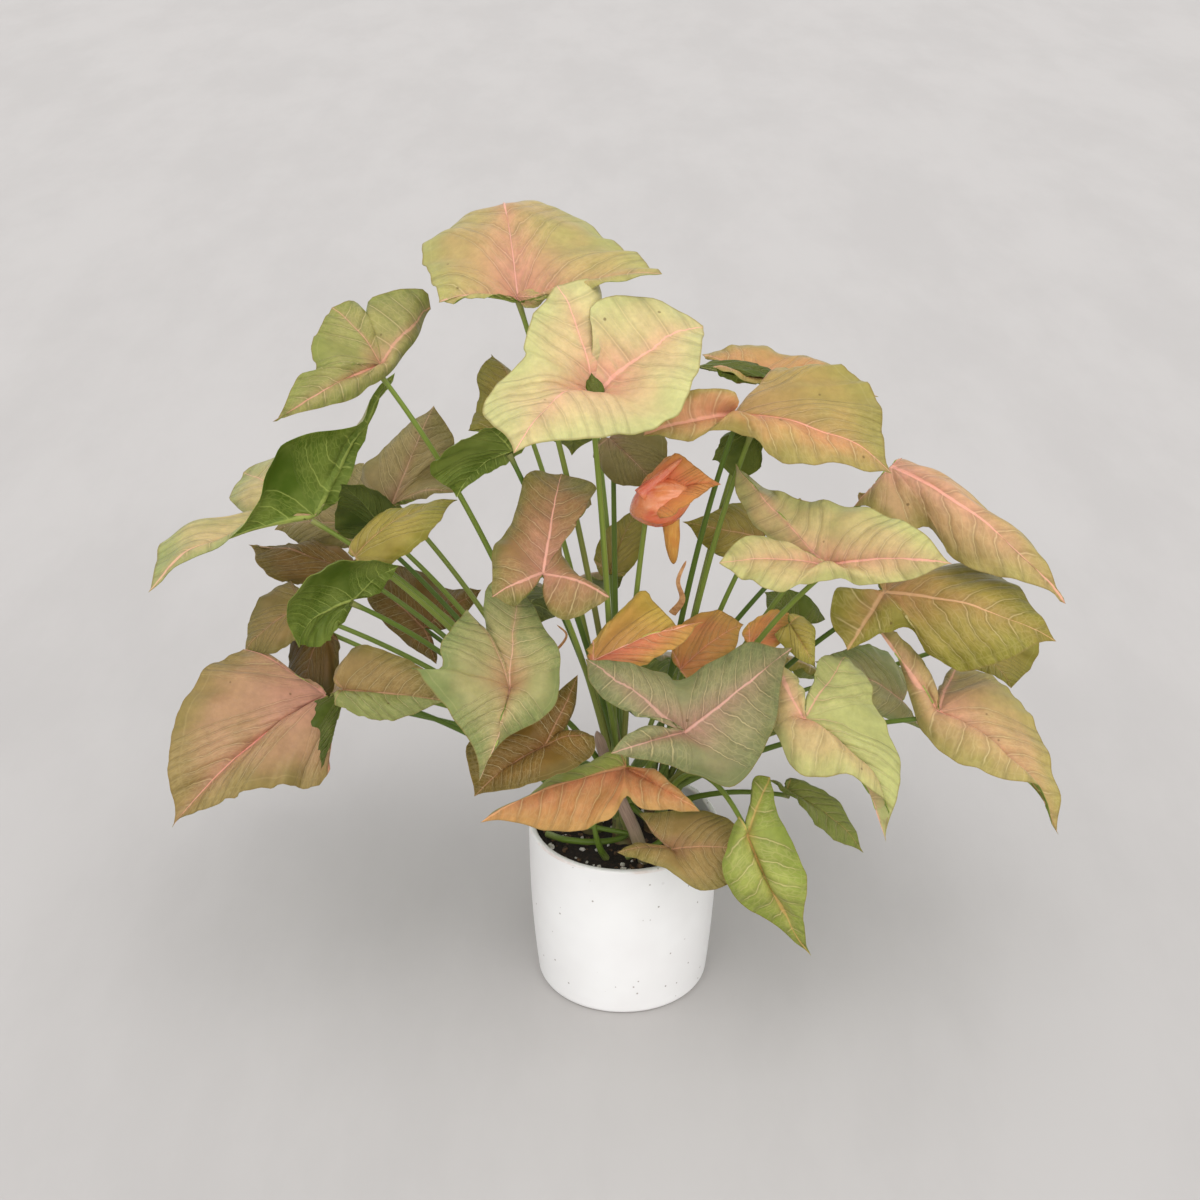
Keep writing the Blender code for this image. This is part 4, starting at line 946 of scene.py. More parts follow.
def bladeGrid(shape, number, sideSteps, cleftSteps, shares):
    knee = np.array(shape["knee"], float)
    left, leftWay = halfMargin(shape, "left", sideSteps, cleftSteps)
    right, rightWay = halfMargin(shape, "right", sideSteps, cleftSteps)
    margin = np.vstack([left[::-1], np.array(shape["tip"], float), right])
    way = np.concatenate([leftWay[::-1], [0.0], rightWay])
    side = np.concatenate([np.ones(len(left)), [0.0], -np.ones(len(right))])
    fan = np.cross(margin[1:] - knee, margin[:-1] - knee)
    # the surface's lift follows the average facing of nearby stretches, as in the solid
    reach = max(1, round(0.15 * len(fan)))
    total = np.vstack([np.zeros(3), np.cumsum(fan, axis=0)])
    last = len(fan)
    upward = unit(np.array([total[min(last, i + reach)] - total[max(0, i - reach)] for i in range(last + 1)]))
    arch = np.interp(way, [0, 1, 2, 3], [*shape["arch"], 0])
    fade = np.clip(way, 0, 1) * np.clip((3 - way) * 2, 0, 1)
    ripple = shape["wave"] * np.sin(4.5 * way * side + 1.3 * number) * fade
    frill = np.sin(17.0 * way + 2.1 * number + side) + 0.6 * np.sin(31.0 * way - 1.4 * number + 2.0 * side)
    frill = frill * fade * min(shape["wave"] + 0.5, 2.0)
    rings = shares[:, None]
    size = np.linalg.norm(margin - knee, axis=1).max()
    # a narrow drip tip, and small notches and bays along the margin
    plan = bladeSettings
    atTip = np.exp(-(way / plan["tipWay"]) ** 2)
    axis = np.array(shape["tip"], float) - knee
    axisWay = unit(axis)
    aside = (margin - knee) - np.outer((margin - knee) @ axisWay, axisWay)
    margin = margin - aside * (plan["tipPinch"] * atTip)[:, None] + np.outer(plan["tipGrowth"] * atTip, axis)
    notch = np.sin(26.0 * way + 3.3 * number + 2.0 * side) * np.sin(9.0 * way + 1.7 * number - side)
    margin = knee + (margin - knee) * (1 + plan["edgeNotch"] * notch * fade)[:, None]
    rise = arch * 4 * rings * (1 - rings) + ripple * rings ** 3
    rise = rise + size * (plan["frill"] * frill * rings ** 5 - plan["tipDroop"] * atTip * rings ** 6
                          - plan["rollDown"] * smoothStep(rings, 0.78, 1.0))
    grid = knee + (margin - knee)[None] * rings[:, :, None] + upward[None] * rise[:, :, None]
    return grid, margin, way, side, upward, size


def flatMargin(margin, way, side, knee):
    # margin points laid flat: true distances from the knee, angles that turn in step with the solid's
    arm = margin - knee
    atTip = arm[way == 0]
    lobeTurn = math.radians(veinPlan["lobeAngle"])
    room = math.radians(flatBlade["cleftTurn"])
    angle = np.zeros(len(way))
    for half in (1.0, -1.0):
        index = np.flatnonzero(side == half)
        index = index[np.argsort(way[index])]
        path = unit(np.vstack([atTip, arm[index]]))
        sweep = np.cumsum(np.arccos(np.clip(np.sum(path[1:] * path[:-1], axis=1), -1.0, 1.0)))
        outside = way[index] <= 2
        atLobe = sweep[outside][-1]
        inside = (sweep - atLobe) * min(1.0, room / max(sweep[-1] - atLobe, 0.01))
        angle[index] = half * np.where(outside, sweep / atLobe * lobeTurn, lobeTurn + inside)
    reach = np.linalg.norm(arm, axis=1) / np.linalg.norm(atTip)
    return np.column_stack([np.cos(angle), np.sin(angle)]) * reach[:, None]


def buildBlade(name, shape, number):
    # the margin's length and the blade's reach set how finely it is divided
    plan = bladeSettings
    edge = smoothLine([shape["tip"], *shape["left"]], 12)
    length = np.linalg.norm(np.diff(edge, axis=0), axis=1).sum() * 12 / 11
    sideSteps = int(np.clip(round(length / plan["stepLength"]), plan["fewestSideSteps"],
                            plan["mostSideSteps"]))
    cleftSteps = max(6, round(sideSteps * 3 / 7))
    reach = np.linalg.norm(np.array(shape["tip"], float) - shape["knee"])
    ringCount = int(np.clip(round(reach / plan["ringLength"]), plan["fewestRings"], plan["mostRings"]))
    shares = np.arange(1, ringCount + 1) / ringCount
    grid, margin, way, side, upward, size = bladeGrid(shape, number, sideSteps, cleftSteps, shares)
    knee = np.array(shape["knee"], float)
    flat = flatMargin(margin, way, side, knee)[None] * shares[:, None, None]
    groove, puff = flatRelief(flat[..., 0], flat[..., 1])
    calm = (1 - 0.8 * smoothStep(shares, 0.86, 1.0))[:, None]
    relief = plan["puff"] * puff * calm - plan["groove"] * groove * (1 - 0.6 * shares[:, None])
    flatX, flatY = flat[..., 0], flat[..., 1]
    swell = np.sin(7.3 * flatX + 4.1 * flatY + 1.9 * number) * np.sin(8.7 * flatY - 2.6 * number)
    swell = swell + 0.6 * np.sin(15.0 * flatX - 9.0 * flatY + number)
    relief = size * (relief + plan["buckle"] * swell * smoothStep(shares, 0.1, 0.6)[:, None])
    normals = surfaceNormals(grid, knee, upward)
    grid = grid + normals * relief[..., None]
    normals = surfaceNormals(grid, knee, upward)
    thick = plan["thickness"] + (plan["edgeThickness"] - plan["thickness"]) * smoothStep(shares, 0.7, 1.0)
    ribUnder = plan["ribThickness"] * groove * (1 - shares[:, None]) * min(1.0, size / 90)
    top = grid + normals * (thick[:, None, None] / 2)
    low = grid - normals * (thick[:, None, None] / 2 + ribUnder[..., None])
    kneeUp = unit(normals[0].mean(axis=0))
    kneeTop, kneeLow = knee + kneeUp * plan["thickness"] / 2, knee - kneeUp * plan["thickness"] / 2
    around, count = len(margin), ringCount * len(margin)
    points = np.vstack([kneeTop, top.reshape(-1, 3), kneeLow, low.reshape(-1, 3)])
    faces, slots = [], []
    for start, flip in ((0, False), (1 + count, True)):
        for i in range(around - 1):
            corner = (start, start + i + 2, start + i + 1)
            faces.append(corner[::-1] if flip else corner)
        for ring in range(ringCount - 1):
            base = start + 1 + ring * around
            for i in range(base, base + around - 1):
                quad = (i, i + 1, i + 1 + around, i + around)
                faces.append(quad[::-1] if flip else quad)
        slots += [int(flip)] * (len(faces) - len(slots))
    # the rim, all the way round the margin and in to the knee on both sides of the cleft
    outer = 1 + (ringCount - 1) * around
    path = [0] + [1 + ring * around for ring in range(ringCount)] + list(range(outer + 1, outer + around))
    path += [around + ring * around for ring in range(ringCount - 2, -1, -1)]
    path = np.array(path + [0])
    for first, second in zip(path[:-1], path[1:]):
        faces.append((first, second, second + 1 + count, first + 1 + count))
    slots += [1] * (len(path) - 1)
    piece = meshObject("blade_" + name, points, faces, leafMaterials[shape["look"]], slots,
                       plan["sharpAngle"])
    addLeafMaps(piece, shape, flat, shares, way, path, count)
    return piece


def addLeafMaps(piece, shape, flat, shares, way, path, count):
    # flat coordinates and reach for the pattern, the leaf's flush and its brightness share of tone and
    # painted light, and a layout for baking
    mesh = piece.data
    corner = np.empty(len(mesh.loops), dtype=np.int32)
    mesh.loops.foreach_get("vertex_index", corner)
    rim = 4 * (len(path) - 1)
    flatPoints = np.vstack([[[0.0, 0.0]], flat.reshape(-1, 2)])
    reach = np.concatenate([[0.0], np.repeat(shares, flat.shape[1])])
    ways = np.concatenate([[0.0], np.tile(way / 3, flat.shape[0])])
    one = corner % (1 + count)
    addUvMap(piece, "leafFlat", flatPoints[one])
    addUvMap(piece, "leafEdge", np.column_stack([reach, ways])[one])
    tint = (shape["flush"], shape["toneAndPaintedLight"])
    addUvMap(piece, "leafFlushAndPaintedLight", np.tile(tint, (len(corner), 1)))
    addUvMap(piece, "leafHalf", np.tile((shape.get("half", 0.0), 0.0), (len(corner), 1)))
    low, high = flatPoints.min(axis=0), flatPoints.max(axis=0)
    layout = (flatPoints[one] - low) / (high - low)
    layout = np.column_stack([0.01 + 0.46 * layout[:, 1], 0.01 + 0.98 * layout[:, 0]])
    layout[corner > count, 0] += 0.48
    run = np.arange(len(path)) / (len(path) - 1)
    strip = np.empty((len(path) - 1, 4, 2))
    strip[:, :, 0] = (0.982, 0.982, 0.995, 0.995)
    strip[:, :, 1] = np.column_stack([run[:-1], run[1:], run[1:], run[:-1]]) * 0.98 + 0.01
    layout[-rim:] = strip.reshape(-1, 2)
    addUvMap(piece, "OFBake", layout)
    mesh.uv_layers["OFBake"].active = True


# each back leaf: look, flush, brightness share of tone and painted light and shade, knee, heading, droop and
# length
backSettings = {
    "upper": ("oliveYellow", 0.6, 0.95, (-20, 120, 380), 100, 35, 120),
    "left": ("dustyMauve", 0.7, 0.9, (-50, 140, 225), 110, 40, 115),
    "right": ("tanPink", 0.9, 1.0, (150, 130, 290), 60, 35, 125),
    "middle": ("sageMauve", 0.7, 0.95, (40, 120, 180), 85, 35, 110),
    "low_right": ("oliveYellow", 0.5, 0.95, (150, 110, 170), 50, 35, 110),
    "low_left": ("dustyMauve", 0.8, 0.95, (-215, 120, 150), 130, 25, 105),
}


def addBackLeaves():
    for name, (look, flush, toneAndPaintedLight, knee, heading, droop, length) in backSettings.items():
        turn, dip = math.radians(heading), math.radians(droop)
        along = np.array([math.cos(turn) * math.cos(dip), math.sin(turn) * math.cos(dip), -math.sin(dip)])
        aside = np.array([-math.sin(turn), math.cos(turn), 0.0])

        def place(points, side):
            return [np.array(knee) + length * (along * x + aside * y * side) for x, y in points]

        outer, inner = flatBlade["outline"][1:], flatBlade["cleft"]
        leafShapes["back_" + name] = dict(
            stem="back", look=look, flush=flush, toneAndPaintedLight=toneAndPaintedLight, knee=knee, tip=place([(1.0, 0.0)], 1)[0],
            left=place(outer, 1), leftInner=place(inner, 1),
            right=place(outer, -1), rightInner=place(inner, -1), arch=(10, 7, 4), wave=2)


addBackLeaves()
leafOrder = {name: number for number, name in enumerate(leafShapes)}
for name, shape in leafShapes.items():
    piece = buildBlade(name, shape, leafOrder[name])
    register(piece, "leaf_" + name)
print("blades are built:", len(leafShapes))

# small lips and lobe ends that fold over a blade: look, flush, brightness share of tone and painted light and
# shade, knee, tip, left and right sides
foldShapes = {
    "crown_curl": ("crownPink", 1.4, 1.0, (-66, 1, 493), (-48, -9, 495),
                   [(-56, 1, 497), (-63, 3, 495)], [(-54, -5, 488), (-61, -3, 487)]),
    "centre_gap": ("freshGreen", 0.3, 0.85, (-19, -67, 451), (-21, -58, 465),
                   [(-25, -63, 459), (-23, -66, 454)], [(-14, -62, 459), (-15, -66, 453)]),
    "upper_lip": ("freshGreen", 0.3, 0.7, (47, 50, 431), (100, 50, 427),
                  [(81, 60, 431), (60, 62, 431)], [(90, 37, 429), (66, 40, 430)]),
    "low_left_lobe": ("freshGreen", 0.5, 0.65, (-182, -20, 234), (-193, -62, 203),
                      [(-189, -48, 216), (-186, -34, 226)], [(-203, -50, 222), (-201, -30, 231)]),
}


def addFolds():
    for number, (name, (look, flush, toneAndPaintedLight, knee, tip, left, right)) in enumerate(foldShapes.items()):
        inner = [tuple(np.array(knee) + 0.3 * (np.array(side[-1]) - knee)) for side in (left, right)]
        shape = dict(look=look, flush=flush, toneAndPaintedLight=toneAndPaintedLight, knee=knee, tip=tip, left=left, leftInner=inner[:1],
                     right=right, rightInner=inner[1:], arch=(2, 1.5, 0.5), wave=0.3)
        register(buildBlade(name, shape, number + 3), None, slotOfNode["leaf_left_folded"])


addFolds()
print("folded lips are built:", len(foldShapes))


# petioles and the short stems they spring from
stemSettings = {
    "crowns": {"left": (-22.0, 4.0), "mid": (0.0, -10.0), "right": (22.0, 4.0), "back": (0.0, 24.0)},
    "crownRing": 5.0,
    "rootTurn": 2.4,
    "firstRoot": 118.0,
    "rootStep": 6.0,
    "pull": (0.42, 0.42, 0.58),
    "lift": 0.06,
    "rootRadius": 3.0,
    "topRadius": 2.0,
    "slim": 0.76,
    "gap": 0.35,
    "reach": 3.0,
    "sides": 14,
    "steps": 44,
    "sheathReach": 0.22,
    "sheathWidth": 0.4,
    "crownFoot": 80.5,
    "crownTop": 146.0,
    "crownRadii": (9.0, 7.5),
    "crownSides": 40,
    "crownRings": 60,
    "joint": 9.0,
    "greens": ((82, 104, 34), (128, 144, 60)),
    "streak": (86, 106, 32),
    "blush": (136, 104, 74),
    "footPale": (150, 160, 98),
    "kneePale": (160, 150, 96),
    "bark": ((112, 120, 66), (128, 100, 70)),
    "barkDark": (78, 60, 42),
}


def petioleLine(shape, number, steps):
    # the same curve as the solid's petiole, from inside its stem to just under the knee
    plan = stemSettings
    grid, _, _, _, _, _ = bladeGrid(shape, number, 7, 3, np.array([0.5, 1.0]))
    knee = np.array(shape["knee"], float)
    before, ridge, after = grid[0, 9:12] - knee
    upward = unit(unit(np.cross(ridge, before)) + unit(np.cross(after, ridge)))
    turn = plan["rootTurn"] * number
    crownX, crownY = plan["crowns"][shape["stem"]]
    root = np.array([crownX + plan["crownRing"] * math.cos(turn), crownY + plan["crownRing"] * math.sin(turn),
                     plan["firstRoot"] + plan["rootStep"] * (number % 5)])
    span = knee - root
    lift = np.array([0, 0, plan["lift"] * np.linalg.norm(span)])
    pull = root + span * plan["pull"] + lift + shape.get("bend", 0)
    slant = float(np.dot(unit(knee - pull), upward))
    drop = 0.4 + plan["gap"] + plan["topRadius"] * math.sqrt(max(0.0, 1 - slant ** 2))
    end = knee + unit(ridge) * plan["reach"] - upward * drop
    t = np.linspace(0.0, 1.0, steps + 1)[:, None]
    return root * (1 - t) ** 2 + pull * 2 * t * (1 - t) + end * t ** 2


def tubeMesh(line, widths, heights, sides, firstSide=(0.0, 0.0, 1.0)):
    # a closed tube round a line, with its end points as caps, and along and round as each corner's map
    along = unit(np.gradient(line, axis=0))
    side = unit(np.cross(along[0], firstSide) + 1e-6)
    frames = []
    for direction in along:
        side = unit(side - direction * np.dot(side, direction))
        frames.append((side, np.cross(direction, side)))
    turn = np.linspace(0.0, 2 * math.pi, sides, endpoint=False)
    rings = [point + width * np.cos(turn)[:, None] * aside + height * np.sin(turn)[:, None] * above
             for point, width, height, (aside, above) in zip(line, widths, heights, frames)]
    count = len(line)
    points = np.vstack([line[:1], *rings, line[-1:]])
    faces, maps = [], []
    for k in range(sides):
        after = (k + 1) % sides
        faces.append((0, 1 + after, 1 + k))
        maps += [(0.0, (k + 0.5) / sides), (0.0, (k + 1) / sides), (0.0, k / sides)]
    for ring in range(count - 1):
        base = 1 + ring * sides
        for k in range(sides):
            after = (k + 1) % sides
            faces.append((base + k, base + after, base + after + sides, base + k + sides))
            low, high = ring / (count - 1), (ring + 1) / (count - 1)
            maps += [(low, k / sides), (low, (k + 1) / sides), (high, (k + 1) / sides), (high, k / sides)]
    base, end = 1 + (count - 1) * sides, 1 + count * sides
    for k in range(sides):
        faces.append((base + k, base + (k + 1) % sides, end))
        maps += [(1.0, k / sides), (1.0, (k + 1) / sides), (1.0, (k + 0.5) / sides)]
    return points, faces, maps


def joinParts(parts):
    # several meshes as one: points, faces, map of along and round, and each part's slot and tint
    points, faces, maps, slots, tints = [], [], [], [], []
    start = 0
    for partPoints, partFaces, partMaps, slot, tint in parts:
        points.append(partPoints)
        faces += [tuple(start + corner for corner in face) for face in partFaces]
        maps += partMaps
        slots += [slot] * len(partFaces)
        tints += [tint] * len(partMaps)
        start += len(partPoints)
    return np.vstack(points), faces, maps, slots, tints


def stemCrown(place, seed):
    # the short ringed stem, from the bottom of its hole in the soil up to the lowest leaf bases
    plan = stemSettings
    height = np.linspace(0.0, 1.0, plan["crownRings"])
    line = np.column_stack([np.full(len(height), place[0]), np.full(len(height), place[1]),
                            plan["crownFoot"] + (plan["crownTop"] - plan["crownFoot"]) * height])
    radius = plan["crownRadii"][0] + (plan["crownRadii"][1] - plan["crownRadii"][0]) * height
    ringed = np.abs(np.sin(math.pi * (line[:, 2] + 2.0 * seed) / plan["joint"])) ** 0.5
    radius = radius * (0.90 + 0.10 * ringed) * np.sqrt(np.clip((1.0 - height) * 7.0, 0.02, 1.0))
    return tubeMesh(line, radius, radius * 0.97, plan["crownSides"], (1.0, 0.0, 0.0))


def buildStem(crownName, seed):
    plan = stemSettings
    draw = np.random.default_rng(40 + seed)
    parts = [(*stemCrown(plan["crowns"][crownName], seed), 1, (0.5, 0.5))]
    for name, shape in leafShapes.items():
        if shape["stem"] != crownName:
            continue
        line = petioleLine(shape, leafOrder[name], plan["steps"])
        share = np.linspace(0.0, 1.0, len(line))
        radius = plan["rootRadius"] + (plan["topRadius"] - plan["rootRadius"]) * share
        radius = radius * (plan["slim"] + 0.30 * smoothStep(share, 0.955, 1.0))
        sheath = 1 - smoothStep(share, plan["sheathReach"] * 0.5, plan["sheathReach"])
        widths = radius * (1 + plan["sheathWidth"] * sheath)
        # each petiole's tint holds a random draw and its blade's tone and painted light share, which the
        # petiole's colour does not use
        parts.append((*tubeMesh(line, widths, radius, plan["sides"]), 0, (draw.random(), shape["toneAndPaintedLight"])))
    points, faces, maps, slots, tints = joinParts(parts)
    piece = meshObject("stems_" + crownName, points, faces, [petioleMaterial, crownMaterial], slots, 50)
    addUvMap(piece, "stemRun", maps)
    addUvMap(piece, "stemTint", tints)
    register(piece, "stem_" + crownName)


def buildPetioleMaterial():
    material, sheet, socket = newMaterial("petiole", 0.4)
    along, around, _ = sheet.split(sheet.uvMap("stemRun"))
    chance, _, _ = sheet.split(sheet.uvMap("stemTint"))
    streaks = sheet.noise(sheet.join(sheet.times(along, 5.0), sheet.times(around, 30.0),
                                     sheet.times(chance, 20.0)), 1.0, 3.0)
    green = sheet.mix(sheet.ramp(chance, 0.1, 0.9), *srgbAll(stemSettings["greens"]))
    pale = sheet.mix(sheet.ramp(along, 0.0, 0.28, 0.75, 0.0), green, srgb(*stemSettings["footPale"]))
    blush = sheet.times(sheet.ramp(chance, 0.72, 0.95), sheet.ramp(along, 0.2, 0.75, 0.6, 0.1))
    colour = sheet.mix(blush, pale, srgb(*stemSettings["blush"]))
    colour = sheet.mix(sheet.ramp(streaks, 0.35, 0.75, 0.0, 0.45), colour, srgb(*stemSettings["streak"]))
    colour = sheet.mix(sheet.ramp(along, 0.95, 1.0, 0.0, 0.5), colour, srgb(*stemSettings["kneePale"]))
    dress(sheet, socket, colour, sheet.ramp(streaks, 0.3, 0.7, 0.34, 0.48), streaks, 0.25, 0.0006)
    socket["Specular IOR Level"].default_value = 0.28
    return material


def buildCrownMaterial():
    material, sheet, socket = newMaterial("old_stem", 0.6)
    place = sheet.place()
    bark = sheet.noise(place, 260.0, 4.0)
    colour = sheet.mix(sheet.ramp(sheet.noise(place, 90.0), 0.35, 0.65), *srgbAll(stemSettings["bark"]))
    colour = sheet.mix(sheet.ramp(bark, 0.4, 0.75, 0.0, 0.6), colour, srgb(*stemSettings["barkDark"]))
    dress(sheet, socket, colour, sheet.ramp(bark, 0.3, 0.7, 0.5, 0.7), bark, 0.5, 0.0008)
    return material


petioleMaterial = buildPetioleMaterial()
crownMaterial = buildCrownMaterial()
for seed, crownName in enumerate(stemSettings["crowns"]):
    buildStem(crownName, seed)
print("stems and petioles are built")


# rolled bud, creeping stems, the bare old stem and the dried wisps
def sheetSurface(rows, columns, pointAt):
    # points over a grid of two shares, as a list for a mesh, with its quads
    points = np.array([pointAt(u, v) for u in np.linspace(0, 1, rows) for v in np.linspace(0, 1, columns)])
    faces = [(r * columns + c, r * columns + c + 1, (r + 1) * columns + c + 1, (r + 1) * columns + c)
             for r in range(rows - 1) for c in range(columns - 1)]
    return points, faces


def thickSheet(name, rows, columns, pointAt, thickness, material, slot):
    # an open surface made into a closed thin piece, with a map that follows it
    points, faces = sheetSurface(rows, columns, pointAt)
    piece = meshObject(name, points, faces, [material])
    shares = np.array([(u, v) for u in np.linspace(0, 1, rows) for v in np.linspace(0, 1, columns)])
    corner = np.array([loop.vertex_index for loop in piece.data.loops])
    addUvMap(piece, "sheetRun", shares[corner])
    solid = piece.modifiers.new("thickness", "SOLIDIFY")
    solid.thickness = thickness * mm
    solid.offset = 0.0
    register(piece, None, slot)
    return piece


budSettings = {
    "foot": (4.0, -24.0, 362.0), "head": (40.0, -34.0, 379.0), "turns": 1.35, "radius": 14.0, "growth": 0.35,
    "hornFoot": (8.0, -34.0, 378.0), "hornHead": (34.0, -24.0, 398.0), "hornRadius": 4.5,
    "tailFoot": (28.0, -24.0, 366.0), "tailEnd": (30.0, -30.0, 330.0), "tailRadius": 7.5, "thickness": 0.7,
    "skin": ((212, 98, 66), (224, 134, 84)), "skinLines": (238, 172, 136), "skinEnd": (226, 150, 96),
    "tail": ((208, 150, 62), (196, 128, 50)), "tailLines": (226, 186, 110), "tailTip": (172, 120, 48),
}


def rolledPoint(foot, head, radius, turns, growth, swell, start=0.0):
    # a sheet rolled round the line from foot to head, its radius swelling along it as swell says
    foot, head = np.array(foot), np.array(head)
    along = unit(head - foot)
    side = unit(np.cross(along, (0.0, 0.0, 1.0)))
    above = np.cross(side, along)

    def pointAt(u, v):
        turn = 2 * math.pi * (turns * v + start)
        wide = radius * swell(u) * (1 - growth + growth * v * 1.6) + 0.25
        pucker = 1 + 0.05 * math.sin(9 * turn + 14 * u) * u * (1 - u) * 4
        return foot + (head - foot) * u + (side * math.cos(turn) + above * math.sin(turn)) * wide * pucker

    return pointAt


def buildBudMaterial():
    material, sheet, socket = newMaterial("bud_skin", 0.2)
    along, around, _ = sheet.split(sheet.uvMap("sheetRun"))
    place = sheet.place()
    cloud = sheet.noise(place, 70.0, 4.0)
    lines = sheet.noise(sheet.join(sheet.times(along, 4.0), sheet.times(around, 40.0)), 1.0, 3.0)
    colour = sheet.mix(sheet.ramp(cloud, 0.35, 0.65), *srgbAll(budSettings["skin"]))
    colour = sheet.mix(sheet.ramp(lines, 0.5, 0.75, 0.0, 0.5), colour, srgb(*budSettings["skinLines"]))
    colour = sheet.mix(sheet.ramp(along, 0.8, 1.0, 0.0, 0.5), colour, srgb(*budSettings["skinEnd"]))
    dress(sheet, socket, colour, sheet.ramp(cloud, 0.3, 0.7, 0.16, 0.3),
          sheet.math("MULTIPLY_ADD", cloud, 2.0, lines), 0.5, 0.0016)
    socket["Coat Weight"].default_value = 0.4
    socket["Coat Roughness"].default_value = 0.15
    return material


def buildTailMaterial():
    material, sheet, socket = newMaterial("bud_tail", 0.4)
    along, around, _ = sheet.split(sheet.uvMap("sheetRun"))
    place = sheet.place()
    cloud = sheet.noise(place, 90.0, 4.0)
    lines = sheet.noise(sheet.join(sheet.times(along, 3.0), sheet.times(around, 46.0)), 1.0, 3.0)
    colour = sheet.mix(sheet.ramp(cloud, 0.35, 0.65), *srgbAll(budSettings["tail"]))
    colour = sheet.mix(sheet.ramp(along, 0.5, 1.0, 0.0, 0.6), colour, srgb(*budSettings["tailTip"]))
    colour = sheet.mix(sheet.ramp(lines, 0.5, 0.7, 0.0, 0.5), colour, srgb(*budSettings["tailLines"]))
    dress(sheet, socket, colour, sheet.ramp(cloud, 0.3, 0.7, 0.35, 0.5), lines, 0.6, 0.0012)
    return material


def buildBud():
    plan = budSettings
    skin, tail = buildBudMaterial(), buildTailMaterial()
    rolled = rolledPoint(plan["foot"], plan["head"], plan["radius"], plan["turns"], plan["growth"],
                         lambda u: math.sin(math.pi * (u * 0.955 + 0.03)) ** 0.75, 0.1)
    thickSheet("bud_roll", 30, 56, rolled, plan["thickness"], skin, "leaf_orange")
    horn = rolledPoint(plan["hornFoot"], plan["hornHead"], plan["hornRadius"], 0.9, 0.2,
                       lambda u: (1 - u) ** 0.7, 0.3)
    thickSheet("bud_horn", 20, 24, horn, plan["thickness"], skin, "leaf_orange")
    hanging = rolledPoint(plan["tailFoot"], plan["tailEnd"], plan["tailRadius"], 0.8, 0.1,
                          lambda u: (1 - u) ** 0.6 * (0.7 + 0.5 * u), 0.55)
    thickSheet("bud_tail_sheath", 26, 28, hanging, plan["thickness"], tail, "leaf_orange")


strandSettings = {
    # points of each strand's line in millimetres, its two radii and its material's kind
    "runner_front": ([(-52, -8, 114), (-40, -22, 119), (-22, -28, 121), (-6, -24, 120), (4, -14, 118)],
                     2.4, 2.0, "green"),
    "runner_left": ([(-40, 6, 113), (-34, -10, 121), (-24, -20, 128), (-10, -30, 132), (6, -32, 130)],
                    2.0, 1.6, "green"),
    "runner_right": ([(2, -34, 113), (16, -38, 122), (30, -34, 130), (44, -30, 140)], 2.2, 1.8, "green"),
    "young_shoot": ([(-12, -34, 112), (-16, -40, 124), (-19, -43, 138), (-20, -44, 150)], 2.6, 1.4, "green"),
    "old_bare_stem": ([(14, -36, 112), (6, -42, 142), (-4, -50, 172), (-12, -56, 202), (-18, -60, 226)],
                      4.6, 3.6, "old"),
    "wisp_one": ([(-44, -40, 262), (-50, -44, 272), (-42, -48, 280), (-37, -44, 287), (-43, -40, 292)],
                 1.3, 0.8, "dry"),
    "wisp_two": ([(30, -24, 292), (36, -28, 304), (33, -30, 318), (38, -26, 330)], 2.6, 0.8, "dry"),
}


strandColours = {
    "dry": ((168, 116, 70), (196, 148, 98)),
    "old": ((134, 108, 92), (160, 136, 116)),
    "oldFoot": (120, 124, 74),
}


def buildDryMaterial():
    material, sheet, socket = newMaterial("dried_wisp", 0.75)
    place = sheet.place()
    grain = sheet.noise(place, 320.0, 4.0)
    colour = sheet.mix(sheet.ramp(grain, 0.35, 0.65), *srgbAll(strandColours["dry"]))
    dress(sheet, socket, colour, sheet.ramp(grain, 0.3, 0.7, 0.65, 0.85), grain, 0.6, 0.0008)
    return material


def buildOldMaterial():
    material, sheet, socket = newMaterial("bare_stem", 0.5)
    along, around, _ = sheet.split(sheet.uvMap("stemRun"))
    streaks = sheet.noise(sheet.join(sheet.times(along, 9.0), sheet.times(around, 26.0)), 1.0, 4.0)
    colour = sheet.mix(sheet.ramp(streaks, 0.35, 0.65), *srgbAll(strandColours["old"]))
    colour = sheet.mix(sheet.ramp(along, 0.0, 0.4, 0.6, 0.0), colour, srgb(*strandColours["oldFoot"]))
    dress(sheet, socket, colour, sheet.ramp(streaks, 0.3, 0.7, 0.4, 0.6), streaks, 0.5, 0.0008)
    return material


def buildStrands():
    kinds = {"green": petioleMaterial, "old": buildOldMaterial(), "dry": buildDryMaterial()}
    for name, (line, footRadius, endRadius, kind) in strandSettings.items():
        path = np.vstack([line[:1], smoothLine(line, 40)])
        share = np.linspace(0.0, 1.0, len(path))
        taper = np.sqrt(np.clip((1 - share) * 16, 0.05, 1.0))
        radius = (footRadius + (endRadius - footRadius) * share) * taper
        twist = 0.35 if kind == "dry" else 1.0
        points, faces, maps = tubeMesh(path, radius, radius * twist, 12, (0.3, 1.0, 0.2))
        piece = meshObject(name, points, faces, [kinds[kind]], None, 50)
        addUvMap(piece, "stemRun", maps)
        addUvMap(piece, "stemTint", [(0.3, 1.0)] * len(maps))
        register(piece, None, "petiole")


buildBud()
buildStrands()
print("bud and loose strands are built")


